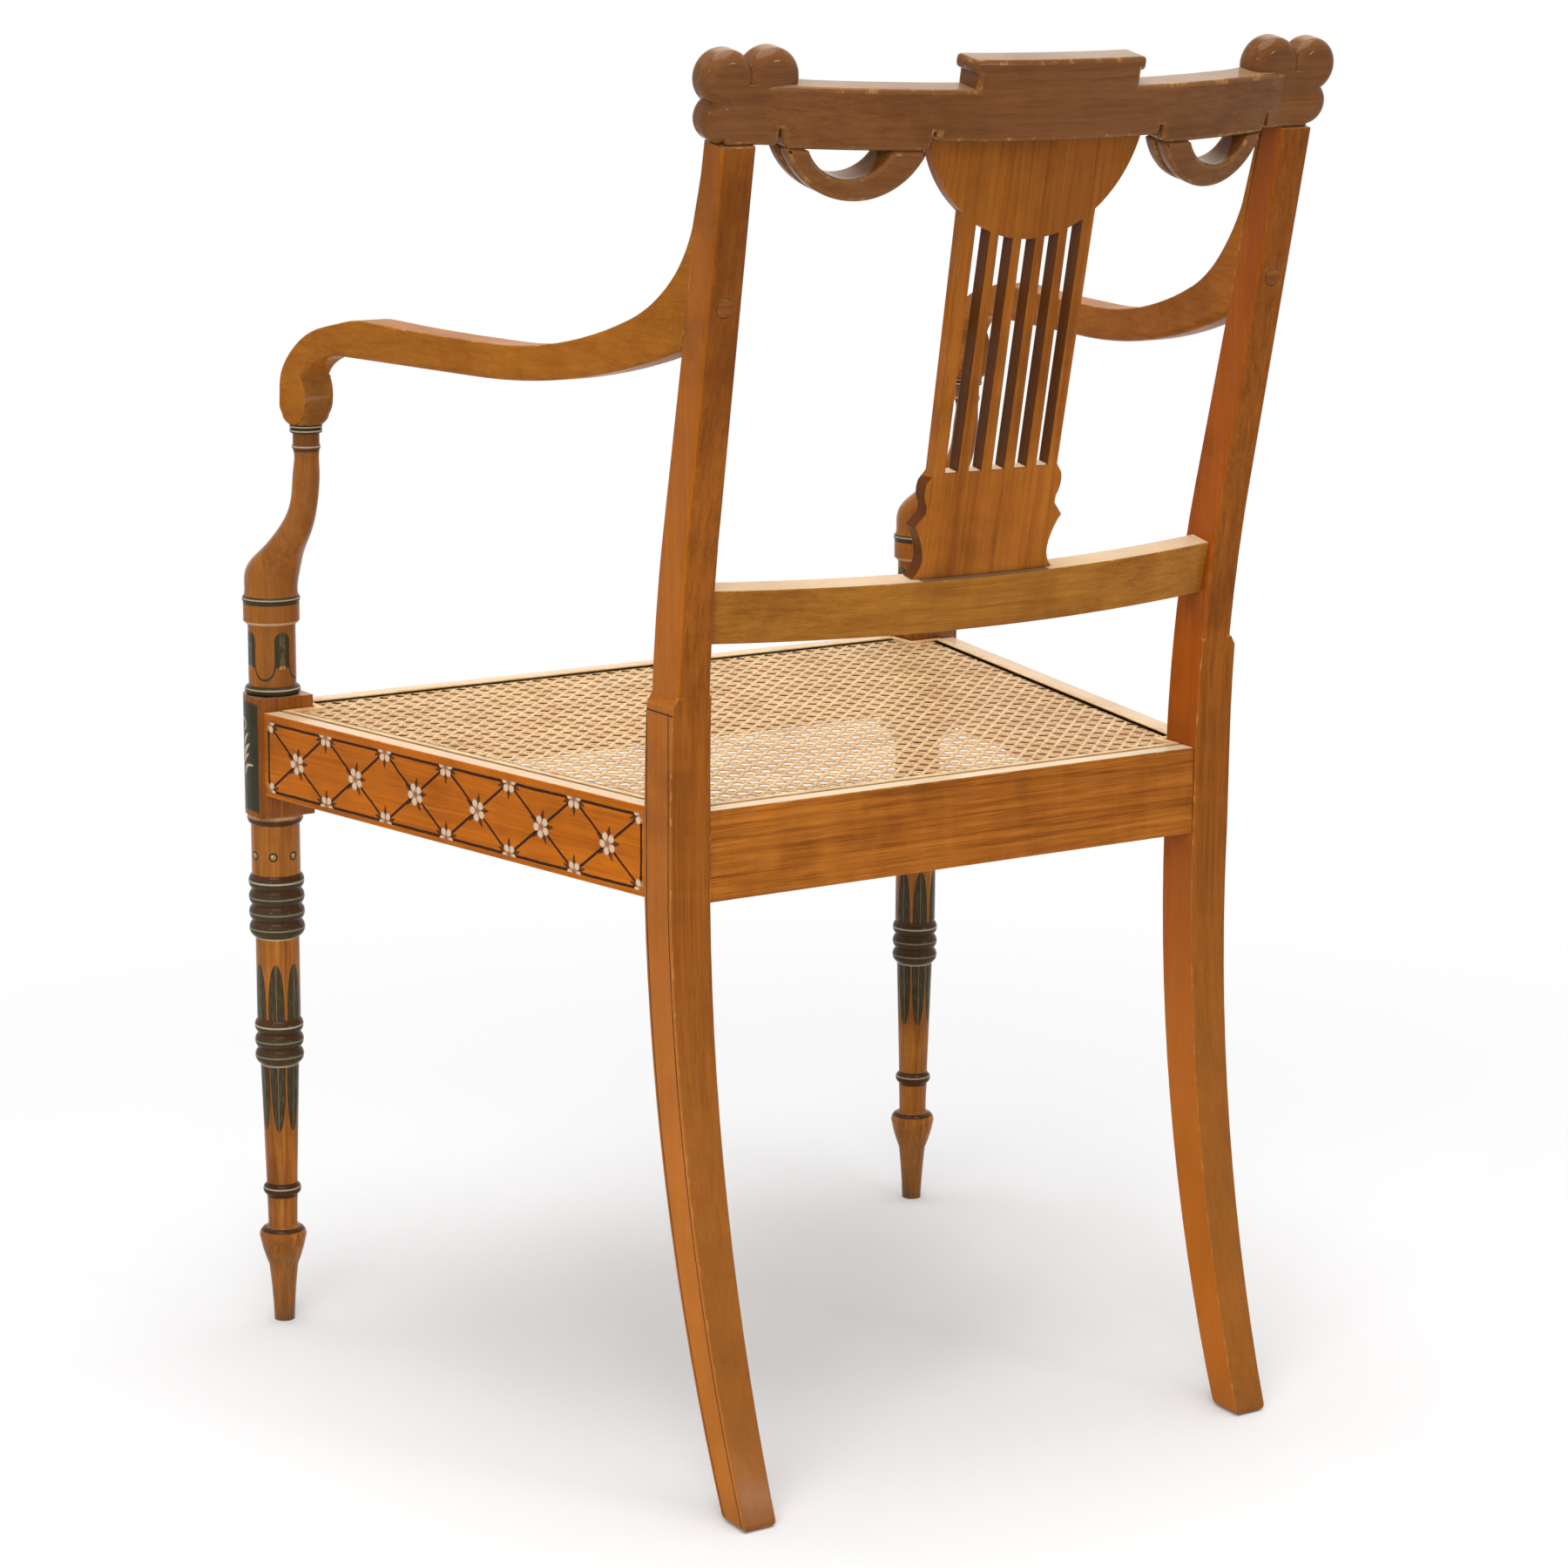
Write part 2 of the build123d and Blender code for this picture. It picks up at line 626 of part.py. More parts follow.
# Arm supports

def ogee():
    """The S-shaped sweep from the turned drum back to the slim neck, lofted through ellipses."""
    spine = [
        # share of the rise, share of the sweep, half-width across, half-depth along
        (0.0, 0.0, OGEE_FOOT_RADIUS, OGEE_FOOT_RADIUS),
        (0.11, 0.02, OGEE_FOOT_RADIUS - 0.4, OGEE_FOOT_RADIUS),
        (0.26, 0.21, OGEE_FOOT_RADIUS - 2.6, OGEE_FOOT_RADIUS - 0.6),
        (0.36, 0.44, OGEE_FOOT_RADIUS - 5.6, OGEE_FOOT_RADIUS - 3.6),
        (0.46, 0.65, NECK_RADIUS + 2.4, NECK_RADIUS + 4.2),
        (0.58, 0.84, NECK_RADIUS + 0.8, NECK_RADIUS + 1.5),
        (0.72, 0.95, NECK_RADIUS + 0.2, NECK_RADIUS + 0.3),
        (0.86, 0.99, NECK_RADIUS, NECK_RADIUS),
        (1.0, 1.0, NECK_RADIUS, NECK_RADIUS),
    ]
    sections = [
        Pos(front_x, OGEE_SWEEP * sweep, ogee_foot + OGEE_RISE * rise) * Ellipse(across, along)
        for rise, sweep, across, along in spine
    ]
    return loft(sections)


def arm_support():
    """The left support: pin, painted drum and collar, ogee, ringed neck and the pin for the arm."""
    drum_foot = block_top + HUSK_RING_WIDTH
    lower = turned([
        (PIN_RADIUS, block_top - PIN_LENGTH),
        (PIN_RADIUS, block_top),
        (HUSK_DRUM_RADIUS, block_top),
        (HUSK_DRUM_RADIUS, drum_foot, HUSK_RING_RADIUS),
        (HUSK_DRUM_RADIUS, support_collar),
        (COLLAR_RADIUS, support_collar + (COLLAR_RADIUS - HUSK_DRUM_RADIUS)),
        (COLLAR_RADIUS, support_collar + COLLAR_HEIGHT),
        (OGEE_FOOT_RADIUS, ogee_foot, COLLAR_RING_RADIUS),
    ])
    neck = ogee_top + NECK_RING_WIDTH
    upper = turned([
        (NECK_RADIUS, ogee_top),
        (NECK_RADIUS, neck, NECK_RING_RADIUS),
        (NECK_RADIUS, neck + NECK_GAP),
        (TOP_RING_RADIUS - 1, arm_seat - TOP_RING_WIDTH / 2, TOP_RING_RADIUS),
        (TOP_RING_RADIUS - 1, arm_seat, TOP_RING_RADIUS),
        (ARM_PIN_RADIUS, arm_seat),
        (ARM_PIN_RADIUS, arm_seat + ARM_PIN_LENGTH),
    ])
    return Pos(front_x, 0, 0) * lower + ogee() + Pos(front_x, OGEE_SWEEP, 0) * upper


# Arms

def arm_side_view():
    """Outline of the arm from the scroll to the tip of the flare on the stile."""
    neck_y = OGEE_SWEEP
    under = arm_top - ARM_THICKNESS
    seat_front = Vector(0, neck_y - TOP_RING_RADIUS, arm_seat)
    seat_back = Vector(0, neck_y + TOP_RING_RADIUS, arm_seat)
    scroll = [Vector(0, neck_y + back, arm_top - drop) for back, drop in SCROLL_CURVE]
    low_front = stile_front((arm_stile_low - hinge.Z) / back_up.Z)
    low_inside = low_front + Vector(0, STILE_HEAD_DEPTH / 2, 0)
    rise_turn = math.radians(ARM_RISE_ANGLE)
    rise_run = ARM_RISE_RADIUS * math.sin(rise_turn)
    rise_start = Vector(0, low_front.Y - ARM_RISE_GAP - rise_run, arm_top)
    rise_end = rise_start + Vector(0, rise_run, ARM_RISE_RADIUS * (1 - math.cos(rise_turn)))
    rise_tangent = (0, math.cos(rise_turn), math.sin(rise_turn))
    tip = stile_front(STILE_TOP) + back_forward * FLARE_TIP
    flare_end = stile_front(STILE_TOP * FLARE_SHARE) + back_forward * FLARE_THICKNESS
    inside = stile_front(STILE_TOP) - back_forward * STILE_HEAD_DEPTH / 2
    under_flat = Vector(0, low_front.Y - ARM_UNDER_RUN, under)
    under_front = Vector(0, neck_y + SCROLL_HOOK, under)
    notch = Vector(0, neck_y + SCROLL_BACK * 0.72, arm_top - SCROLL_NOTCH)
    heel = Vector(0, neck_y + SCROLL_BACK, (notch.Z + arm_seat) / 2 + 1)
    return [
        Line(seat_back, seat_front),
        Spline([seat_front, *scroll, rise_start], tangents=[(0, -0.3, 1), (0, 1, 0)]),
        TangentArc(rise_start, rise_end, tangent=(0, 1, 0)),
        TangentArc(rise_end, flare_end, tangent=rise_tangent),
        Line(flare_end, tip),
        Line(tip, inside),
        Line(inside, low_inside),
        Line(low_inside, low_front),
        TangentArc(under_flat, low_front, tangent=(0, 1, 0)),
        Line(under_flat, under_front),
        Spline([under_front, notch], tangents=[(0, -1, 0), (0, -0.3, -1)], tangent_scalars=[1.2, 0.7]),
        ThreePointArc(notch, heel, seat_back),
    ]


def arm():
    """The left arm: sawn to its side view, then to its plan, and faced to the stile."""
    neck_y = OGEE_SWEEP
    profile = side_prism(arm_side_view(), 0, FRONT_LEG_SPREAD)
    stile_y = stile_front((arm_stile_low - hinge.Z) / back_up.Z).Y
    route = FilletPolyline(
        (front_x + (front_x - screw_x) * SCROLL_HOOK / (stile_y - neck_y), neck_y - SCROLL_HOOK),
        (screw_x, stile_y),
        (screw_x, stile_y + STILE_TOP),
        radius=ARM_BEND_RADIUS)
    plan = trace(route, ARM_WIDTH)
    board = profile & extrude(plan, amount=2 * arm_top, dir=(0, 0, 1))
    board = board - side_prism(rear_leg_side_view(), 0, FRONT_LEG_SPREAD)
    under_edges = [
        edge for edge in board.edges()
        if edge.center().Y > neck_y + SCROLL_HOOK
        and edge.center().Z < arm_top - ARM_THICKNESS + ARM_EDGE_RADIUS
        and edge.length > ARM_WIDTH * 2
    ]
    board = fillet(under_edges, ARM_EDGE_RADIUS)
    knob_top = arm_top - SCROLL_NOTCH
    knob_rise = knob_top - arm_seat
    knob = turned([
        (TOP_RING_RADIUS, arm_seat),
        (KNOB_RADIUS * 0.8, arm_seat + knob_rise * 0.2, KNOB_RADIUS * 0.73),
        (KNOB_RADIUS * 0.9, knob_top, KNOB_RADIUS),
        (KNOB_RADIUS * 0.9, knob_top + 1),
    ])
    above = block_from((0, 0, knob_top), (FRONT_LEG_SPREAD, leg_back_y + STILE_TOP, 2 * arm_top))
    board = board & (above + Pos(front_x, neck_y, 0) * knob)
    pin_hole = Cylinder(ARM_PIN_RADIUS + JOINT_CLEARANCE, ARM_PIN_LENGTH + JOINT_CLEARANCE,
                        align=(Align.CENTER, Align.CENTER, Align.MIN))
    board = board - Pos(front_x, neck_y, arm_seat) * pin_hole
    return board - arm_screw(JOINT_CLEARANCE)


# Crest rail and swags

lobe_x = stile_top_x + LOBE_OVERHANG


def crest_outline():
    """Front view of the bowed part of the crest rail in the raked plane of the back."""
    cusp = STILE_TOP + CREST_CUSP_RISE
    top = STILE_TOP + CREST_HEIGHT
    tablet_top = top + TABLET_RISE
    end_inner = SWAG_CENTRE + SWAG_RADIUS + 1
    end_width = crest_flat_x - end_inner
    outline = Pos(0, (cusp + top) / 2) * Rectangle(2 * crest_flat_x, top - cusp)
    outline += Pos(0, (top + tablet_top) / 2) * Rectangle(TABLET_WIDTH, tablet_top - top)
    outline += Pos(0, tablet_top + CAP_HEIGHT / 2) * Rectangle(TABLET_WIDTH + 2 * CAP_OVERHANG, CAP_HEIGHT)
    apron_height = cusp - crest_bottom + TABLET_APRON_ROUND
    apron = Rectangle(TABLET_APRON_WIDTH, apron_height)
    apron = fillet(apron.vertices().group_by(Axis.Y)[0], TABLET_APRON_ROUND)
    outline += Pos(0, crest_bottom + apron_height / 2) * apron
    for side in (1, -1):
        end_middle = side * (end_inner + end_width / 2)
        outline += Pos(end_middle, (STILE_TOP + top) / 2) * Rectangle(end_width, CREST_HEIGHT)
        horn = Pos(side * SWAG_CENTRE, swag_seat - SWAG_DROP + SWAG_RADIUS) * Circle(SWAG_RADIUS)
        strip = Pos(side * SWAG_CENTRE, (swag_seat + top) / 2) * Rectangle(2 * SWAG_RADIUS, top - swag_seat)
        outline += horn & strip
    return outline


def lobe(x, up, radius):
    """One rounded disc of the trefoil that ends the crest."""
    disc = Cylinder(radius, CREST_THICKNESS)
    disc = fillet(disc.edges().filter_by(GeomType.CIRCLE), LOBE_EDGE_RADIUS)
    return Pos(x, up, crest_mid) * disc


def crest_end():
    """The left end of the crest over the stile: a flat block with its trefoil."""
    foot = block_from((SWAG_CENTRE + SWAG_RADIUS + 1, STILE_TOP, CREST_END_SET_IN),
                      (lobe_x, STILE_TOP + CREST_HEIGHT, CREST_END_SET_IN + CREST_THICKNESS))
    trefoil = lobe(lobe_x, STILE_TOP + LOBE_RISE, OUTER_LOBE_RADIUS)
    trefoil += lobe(lobe_x - LOBE_PITCH, STILE_TOP + LOBE_RISE, INNER_LOBE_RADIUS)
    trefoil += lobe(lobe_x, STILE_TOP + LOWER_LOBE_RADIUS + LOBE_GAP, LOWER_LOBE_RADIUS)
    return foot + trefoil


def through_back(outline):
    """Extrude a front view of the back from well behind it to well in front."""
    return extrude(Pos(0, 0, -2 * CREST_THICKNESS) * outline, amount=5 * CREST_THICKNESS)


tongue_back = -SPLAT_REAR + (SPLAT_THICKNESS - TONGUE_THICKNESS) / 2
tongue_reach = SPLAT_FOOT_WIDTH / 2 - TONGUE_SHOULDER


def splat_tongue(low, high, gap):
    """The tongue at one end of the splat, or the groove for it."""
    corner = (-tongue_reach - gap, low - gap, tongue_back - gap)
    return block_from(corner, (tongue_reach + gap, high + gap, tongue_back + TONGUE_THICKNESS + gap))


def crest_rail():
    """The crest sawn from a bowed plank, mortised for the stiles and grooved for the splat."""
    plank = bent_plank(CREST_BOW_RADIUS, crest_rear, CREST_THICKNESS)
    body = (through_back(crest_outline()) & plank) + crest_end() + mirror(crest_end(), Plane.YZ)
    body = body - stile_mortise - mirror(stile_mortise, Plane.YZ)
    body = body - splat_tongue(crest_bottom, crest_bottom + TONGUE_LENGTH, JOINT_CLEARANCE)
    return back_plane * body


def crest_swag():
    """The left crescent under the crest, with one groove round its outer edge."""
    centre = swag_seat - SWAG_DROP + SWAG_RADIUS
    disc = Pos(SWAG_CENTRE, centre) * Circle(SWAG_RADIUS)
    below = Pos(SWAG_CENTRE, swag_seat - SWAG_RADIUS) * Rectangle(2 * SWAG_RADIUS, 2 * SWAG_RADIUS)
    eye = Pos(SWAG_CENTRE + SWAG_EYE_SHIFT, centre - SWAG_EYE_SHIFT * 1.4) * Circle(SWAG_EYE_RADIUS)
    crescent = (disc & below) - eye
    groove = disc - Pos(SWAG_CENTRE, centre) * Circle(SWAG_RADIUS - SWAG_GROOVE_DEPTH)
    middle = (CREST_THICKNESS - SWAG_GROOVE_WIDTH) / 2
    plank = bent_plank(CREST_BOW_RADIUS, crest_rear, CREST_THICKNESS)
    channel = bent_plank(CREST_BOW_RADIUS - middle, crest_rear - middle, SWAG_GROOVE_WIDTH)
    body = through_back(crescent) & plank
    return back_plane * (body - (through_back(groove) & channel))


# Lower back rail

def lower_back_rail():
    """The bowed rail between the stiles that carries the splat."""
    low = BACK_RAIL_TOP - BACK_RAIL_HEIGHT
    front_view = Pos(0, low + BACK_RAIL_HEIGHT / 2) * Rectangle(FRONT_LEG_SPREAD, BACK_RAIL_HEIGHT)
    body = through_back(front_view) & bent_plank(BACK_RAIL_BOW_RADIUS, back_rail_rear, BACK_RAIL_THICKNESS)
    body = back_plane * body
    between_stiles = across_prism([
        (leg_inner_x, SEAT_HEIGHT),
        (stile_inner_x(arm_top), arm_top),
        (-stile_inner_x(arm_top), arm_top),
        (-leg_inner_x, SEAT_HEIGHT),
    ])
    body = body & between_stiles
    body = body + back_plane * back_tenon + back_plane * mirror(back_tenon, Plane.YZ)
    return body - back_plane * splat_tongue(BACK_RAIL_TOP - TONGUE_LENGTH, BACK_RAIL_TOP, JOINT_CLEARANCE)


# Splat

def splat_base():
    """The urn-like foot of the splat, drawn on one side and mirrored."""
    foot = BACK_RAIL_TOP
    shoulder = foot + SPLAT_BASE_HEIGHT
    bar = SPLAT_FOOT_WIDTH / 2
    wide = SPLAT_BASE_WIDTH / 2
    height = SPLAT_BASE_HEIGHT
    shoulder_out = (bar + (wide - bar) * 0.48, shoulder - height * 0.09)
    shoulder_in = (bar + (wide - bar) * 0.28, shoulder - height * 0.31)
    waist = (bar + (wide - bar) * 0.26, shoulder - height * 0.38)
    point = (wide, shoulder - height * 0.5)
    ankle = (bar + (wide - bar) * 0.13, shoulder - height * 0.8)
    toe = (wide - (wide - bar) * 0.24, foot)
    return [
        Line((0, shoulder), (bar, shoulder)),
        Line((bar, shoulder), shoulder_out),
        ThreePointArc(shoulder_out, (shoulder_out[0] + 0.6, shoulder - height * 0.21), shoulder_in),
        Line(shoulder_in, waist),
        Line(waist, point),
        ThreePointArc(point, (ankle[0] + (wide - ankle[0]) * 0.3, (point[1] + ankle[1]) / 2), ankle),
        ThreePointArc(ankle, (ankle[0] + 1, (ankle[1] + foot) / 2), toe),
        Line(toe, (0, foot)),
        Line((0, foot), (0, shoulder)),
    ]


def splat_outline():
    """Front view of the splat: half disc, six bars and foot."""
    shoulder = BACK_RAIL_TOP + SPLAT_BASE_HEIGHT
    disc_centre = crest_bottom - DISC_DROP + DISC_RADIUS
    disc = Pos(0, disc_centre) * Circle(DISC_RADIUS)
    head = Pos(0, crest_bottom - DISC_RADIUS) * Rectangle(2 * DISC_RADIUS, 2 * DISC_RADIUS)
    foot_half, head_half = SPLAT_FOOT_WIDTH / 2, SPLAT_HEAD_WIDTH / 2
    bars_top = crest_bottom - DISC_DROP / 2
    bars = make_face(Polyline(
        (-foot_half, shoulder),
        (foot_half, shoulder),
        (head_half, bars_top),
        (-head_half, bars_top),
        close=True))
    for i in range(SLOT_COUNT):
        x = (i - (SLOT_COUNT - 1) / 2) * SLOT_PITCH
        low, high = SLOT_FOOT_WIDTH / 2, SLOT_HEAD_WIDTH / 2
        bars -= make_face(Polyline(
            (x - low, shoulder), (x + low, shoulder), (x + high, bars_top), (x - high, bars_top), close=True))
    half = make_face(splat_base())
    return bars + (disc & head) + half + mirror(half, Plane.YZ)


def back_splat():
    """The pierced splat, bowed like the crest, with a tongue at its head and its foot."""
    bow = CREST_BOW_RADIUS - crest_rear + SPLAT_REAR
    body = through_back(splat_outline()) & bent_plank(bow, SPLAT_REAR, SPLAT_THICKNESS)
    body = body + splat_tongue(crest_bottom, crest_bottom + TONGUE_LENGTH, 0)
    body = body + splat_tongue(BACK_RAIL_TOP - TONGUE_LENGTH, BACK_RAIL_TOP, 0)
    return back_plane * body


def pair(piece):
    """A left-hand piece and its mirror image in one group."""
    return Compound([*piece.solids(), *mirror(piece, Plane.YZ).solids()])


def assemble():
    """Every piece of the chair by name, still with y = 0 on the front legs' axes."""
    pieces = {
        "front_seat_rail": cross_rail(block_inner_x, front_rail_front, front_rail_back, front_tenon),
        "rear_seat_rail": cross_rail(leg_inner_x, rear_rail_front, rear_rail_back, rear_tenon),
        "cane_seat": cane_seat(),
        "cane_binder": cane_binder(),
        "crest_rail": crest_rail(),
        "back_splat": back_splat(),
        "lower_back_rail": lower_back_rail(),
        "arm_screws": pair(arm_screw(0)),
        "arm_screw_pellets": pair(arm_pellet(0)),
    }
    handed = {
        "side_seat_rail": side_rail(),
        "rear_leg": rear_leg(),
        "front_leg": front_leg(),
        "arm_support": arm_support(),
        "arm": arm(),
        "crest_swag": crest_swag(),
    }
    for name, piece in handed.items():
        pieces[name + "_left"] = piece
        pieces[name + "_right"] = mirror(piece, Plane.YZ)
    return pieces


def export(pieces):
    """Set the origin under the middle of the chair and write every piece."""
    boxes = [piece.bounding_box() for piece in pieces.values()]
    front = min(box.min.Y for box in boxes)
    rear = max(box.max.Y for box in boxes)
    shift = Pos(0, -(front + rear) / 2, 0)
    os.makedirs("parts", exist_ok=True)
    for name, piece in pieces.items():
        export_step(shift * piece, f"parts/{name}.step")


export(assemble())
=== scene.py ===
"""A painted satinwood open-arm chair with a caned seat, dressed for its photograph."""
import logging
import math
from dataclasses import dataclass, field
from enum import Enum
from typing import Callable, Dict, List, Optional, Tuple, Union

import bmesh
import bpy
from mathutils import Matrix, Vector


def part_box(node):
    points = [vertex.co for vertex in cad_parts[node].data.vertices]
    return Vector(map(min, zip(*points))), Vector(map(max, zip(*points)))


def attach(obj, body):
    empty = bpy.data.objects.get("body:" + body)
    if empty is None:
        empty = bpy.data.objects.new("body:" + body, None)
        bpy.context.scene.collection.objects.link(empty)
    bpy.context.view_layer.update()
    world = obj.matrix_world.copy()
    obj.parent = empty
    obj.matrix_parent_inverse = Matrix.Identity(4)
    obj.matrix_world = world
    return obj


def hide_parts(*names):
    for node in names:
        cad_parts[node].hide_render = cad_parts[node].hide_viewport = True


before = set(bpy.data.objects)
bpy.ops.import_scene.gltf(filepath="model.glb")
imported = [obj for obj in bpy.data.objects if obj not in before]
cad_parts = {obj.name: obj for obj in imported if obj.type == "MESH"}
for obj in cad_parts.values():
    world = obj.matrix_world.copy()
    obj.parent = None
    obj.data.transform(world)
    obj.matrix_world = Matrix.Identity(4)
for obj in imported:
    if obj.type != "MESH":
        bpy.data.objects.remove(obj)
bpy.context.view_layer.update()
MM = 0.001
SEAT_SPLAY = math.radians(10.6)
SEAT_DEPTH = 402.0
SEAT_LEVEL = 435.0
RAIL_FOOT = 378.0
SOFT_EDGE = 0.16

log = logging.getLogger("chair")

Colour = Tuple[float, float, float, float]
Point = Tuple[float, float, float]
Operand = Union["Wire", float]


def tint(red: int, green: int, blue: int) -> Colour:
    """Turn a screen colour into the linear colour a shader wants.

    Args:
        red: Red, 0 to 255.
        green: Green, 0 to 255.
        blue: Blue, 0 to 255.

    Returns:
        The linear colour with full cover.
    """
    def straight(level: int) -> float:
        """Undo the screen curve for one channel."""
        share = level / 255
        return share / 12.92 if share <= 0.04045 else ((share + 0.055) / 1.055) ** 2.4
    return (straight(red), straight(green), straight(blue), 1.0)


def front_leg_axis() -> Tuple[float, float]:
    """Where the left front leg's axis stands, in millimetres."""
    low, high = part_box("front_leg_left")
    return ((low[0] + high[0]) / 2 / MM, (low[1] + high[1]) / 2 / MM)


def stood(name: str, data: bpy.types.ID) -> bpy.types.Object:
    """Stand a mesh, a lamp or a camera in the scene.

    Args:
        name: Name of the new object.
        data: What it shows.

    Returns:
        The new object.
    """
    piece = bpy.data.objects.new(name, data)
    bpy.context.scene.collection.objects.link(piece)
    return piece


class Side(Enum):
    """The sitter's side a piece stands on."""
    LEFT = 1
    RIGHT = -1

    @property
    def word(self) -> str:
        """The side as it ends a piece's name."""
        return self.name.lower()


class Grain(Enum):
    """How the grain runs: along, across and through the board."""
    SIDEWAYS = ((1, 0, 0), (0, 0, 1), (0, 1, 0))
    UPRIGHT = ((0, 0, 1), (1, 0, 0), (0, 1, 0))
    FORWARD = ((0, 1, 0), (0, 0, 1), (1, 0, 0))
    RAKED = ((0, 0.19, 0.98), (1, 0, 0), (0, 0.98, -0.19))


class Lie(Enum):
    """The four directions of cane in a six-way weave."""
    FRONT_TO_BACK = (0.0, 1.0)
    SIDE_TO_SIDE = (1.0, 0.0)
    RISING = (1.0, 1.0)
    FALLING = (1.0, -1.0)


def summed(operation: str, turned: bool = False) -> Callable[..., "Wire"]:
    """Make one of a wire's operators.

    Args:
        operation: Blender's name for the sum.
        turned: Whether the other value comes first.

    Returns:
        The operator.
    """
    def operator(wire: "Wire", other: Optional[Operand] = None) -> "Wire":
        """Work the sum out on the wire's bench."""
        first, second = (other, wire) if turned else (wire, other)
        return wire.bench.math(operation, first, second)
    return operator


class Wire:
    """A value or colour on its way from one shader node to the next.

    The & of two masks holds where both hold, the | where either does.
    """

    def __init__(self, bench: "Bench", socket: bpy.types.NodeSocket) -> None:
        """Hold the bench and the socket the value leaves by."""
        self.bench = bench
        self.socket = socket

    __add__ = __radd__ = summed("ADD")
    __sub__, __rsub__ = summed("SUBTRACT"), summed("SUBTRACT", True)
    __mul__ = __rmul__ = summed("MULTIPLY")
    __truediv__, __rtruediv__ = summed("DIVIDE"), summed("DIVIDE", True)
    __pow__, __abs__ = summed("POWER"), summed("ABSOLUTE")
    __and__, __or__ = summed("MINIMUM"), summed("MAXIMUM")
    wrapped, cosine = summed("FRACT"), summed("COSINE")

    def __neg__(self) -> "Wire":
        """This value turned about nought."""
        return 0.0 - self

    def root(self) -> "Wire":
        """The square root of this value, nought below nought."""
        return self.bench.math("SQRT", self | 0.0)

    def reach(self, other: "Wire") -> "Wire":
        """The length of a line this far one way and that far the other."""
        return (self * self + other * other).root()

    def fade(self, none: float, full: float) -> "Wire":
        """Ease from 0 at one value to 1 at another.

        Args:
            none: Value at which the result is 0.
            full: Value at which the result is 1.

        Returns:
            The eased mask.
        """
        ease = self.bench.node("ShaderNodeMapRange", {"interpolation_type": "SMOOTHSTEP"},
                               {"Value": self, "From Min": none, "From Max": full})
        return Wire(self.bench, ease.outputs["Result"])

    def line(self, width: float) -> "Wire":
        """A soft-edged line where this distance is nought.

        Args:
            width: Width of the line, in the distance's unit.

        Returns:
            The line's mask.
        """
        return abs(self).fade(width / 2 + SOFT_EDGE, width / 2 - SOFT_EDGE)

    def within(self, low: float, high: float) -> "Wire":
        """A soft-edged band between two values.

        Args:
            low: Lower edge.
            high: Upper edge.

        Returns:
            The band's mask.
        """
        return (self - (low + high) / 2).line(high - low)


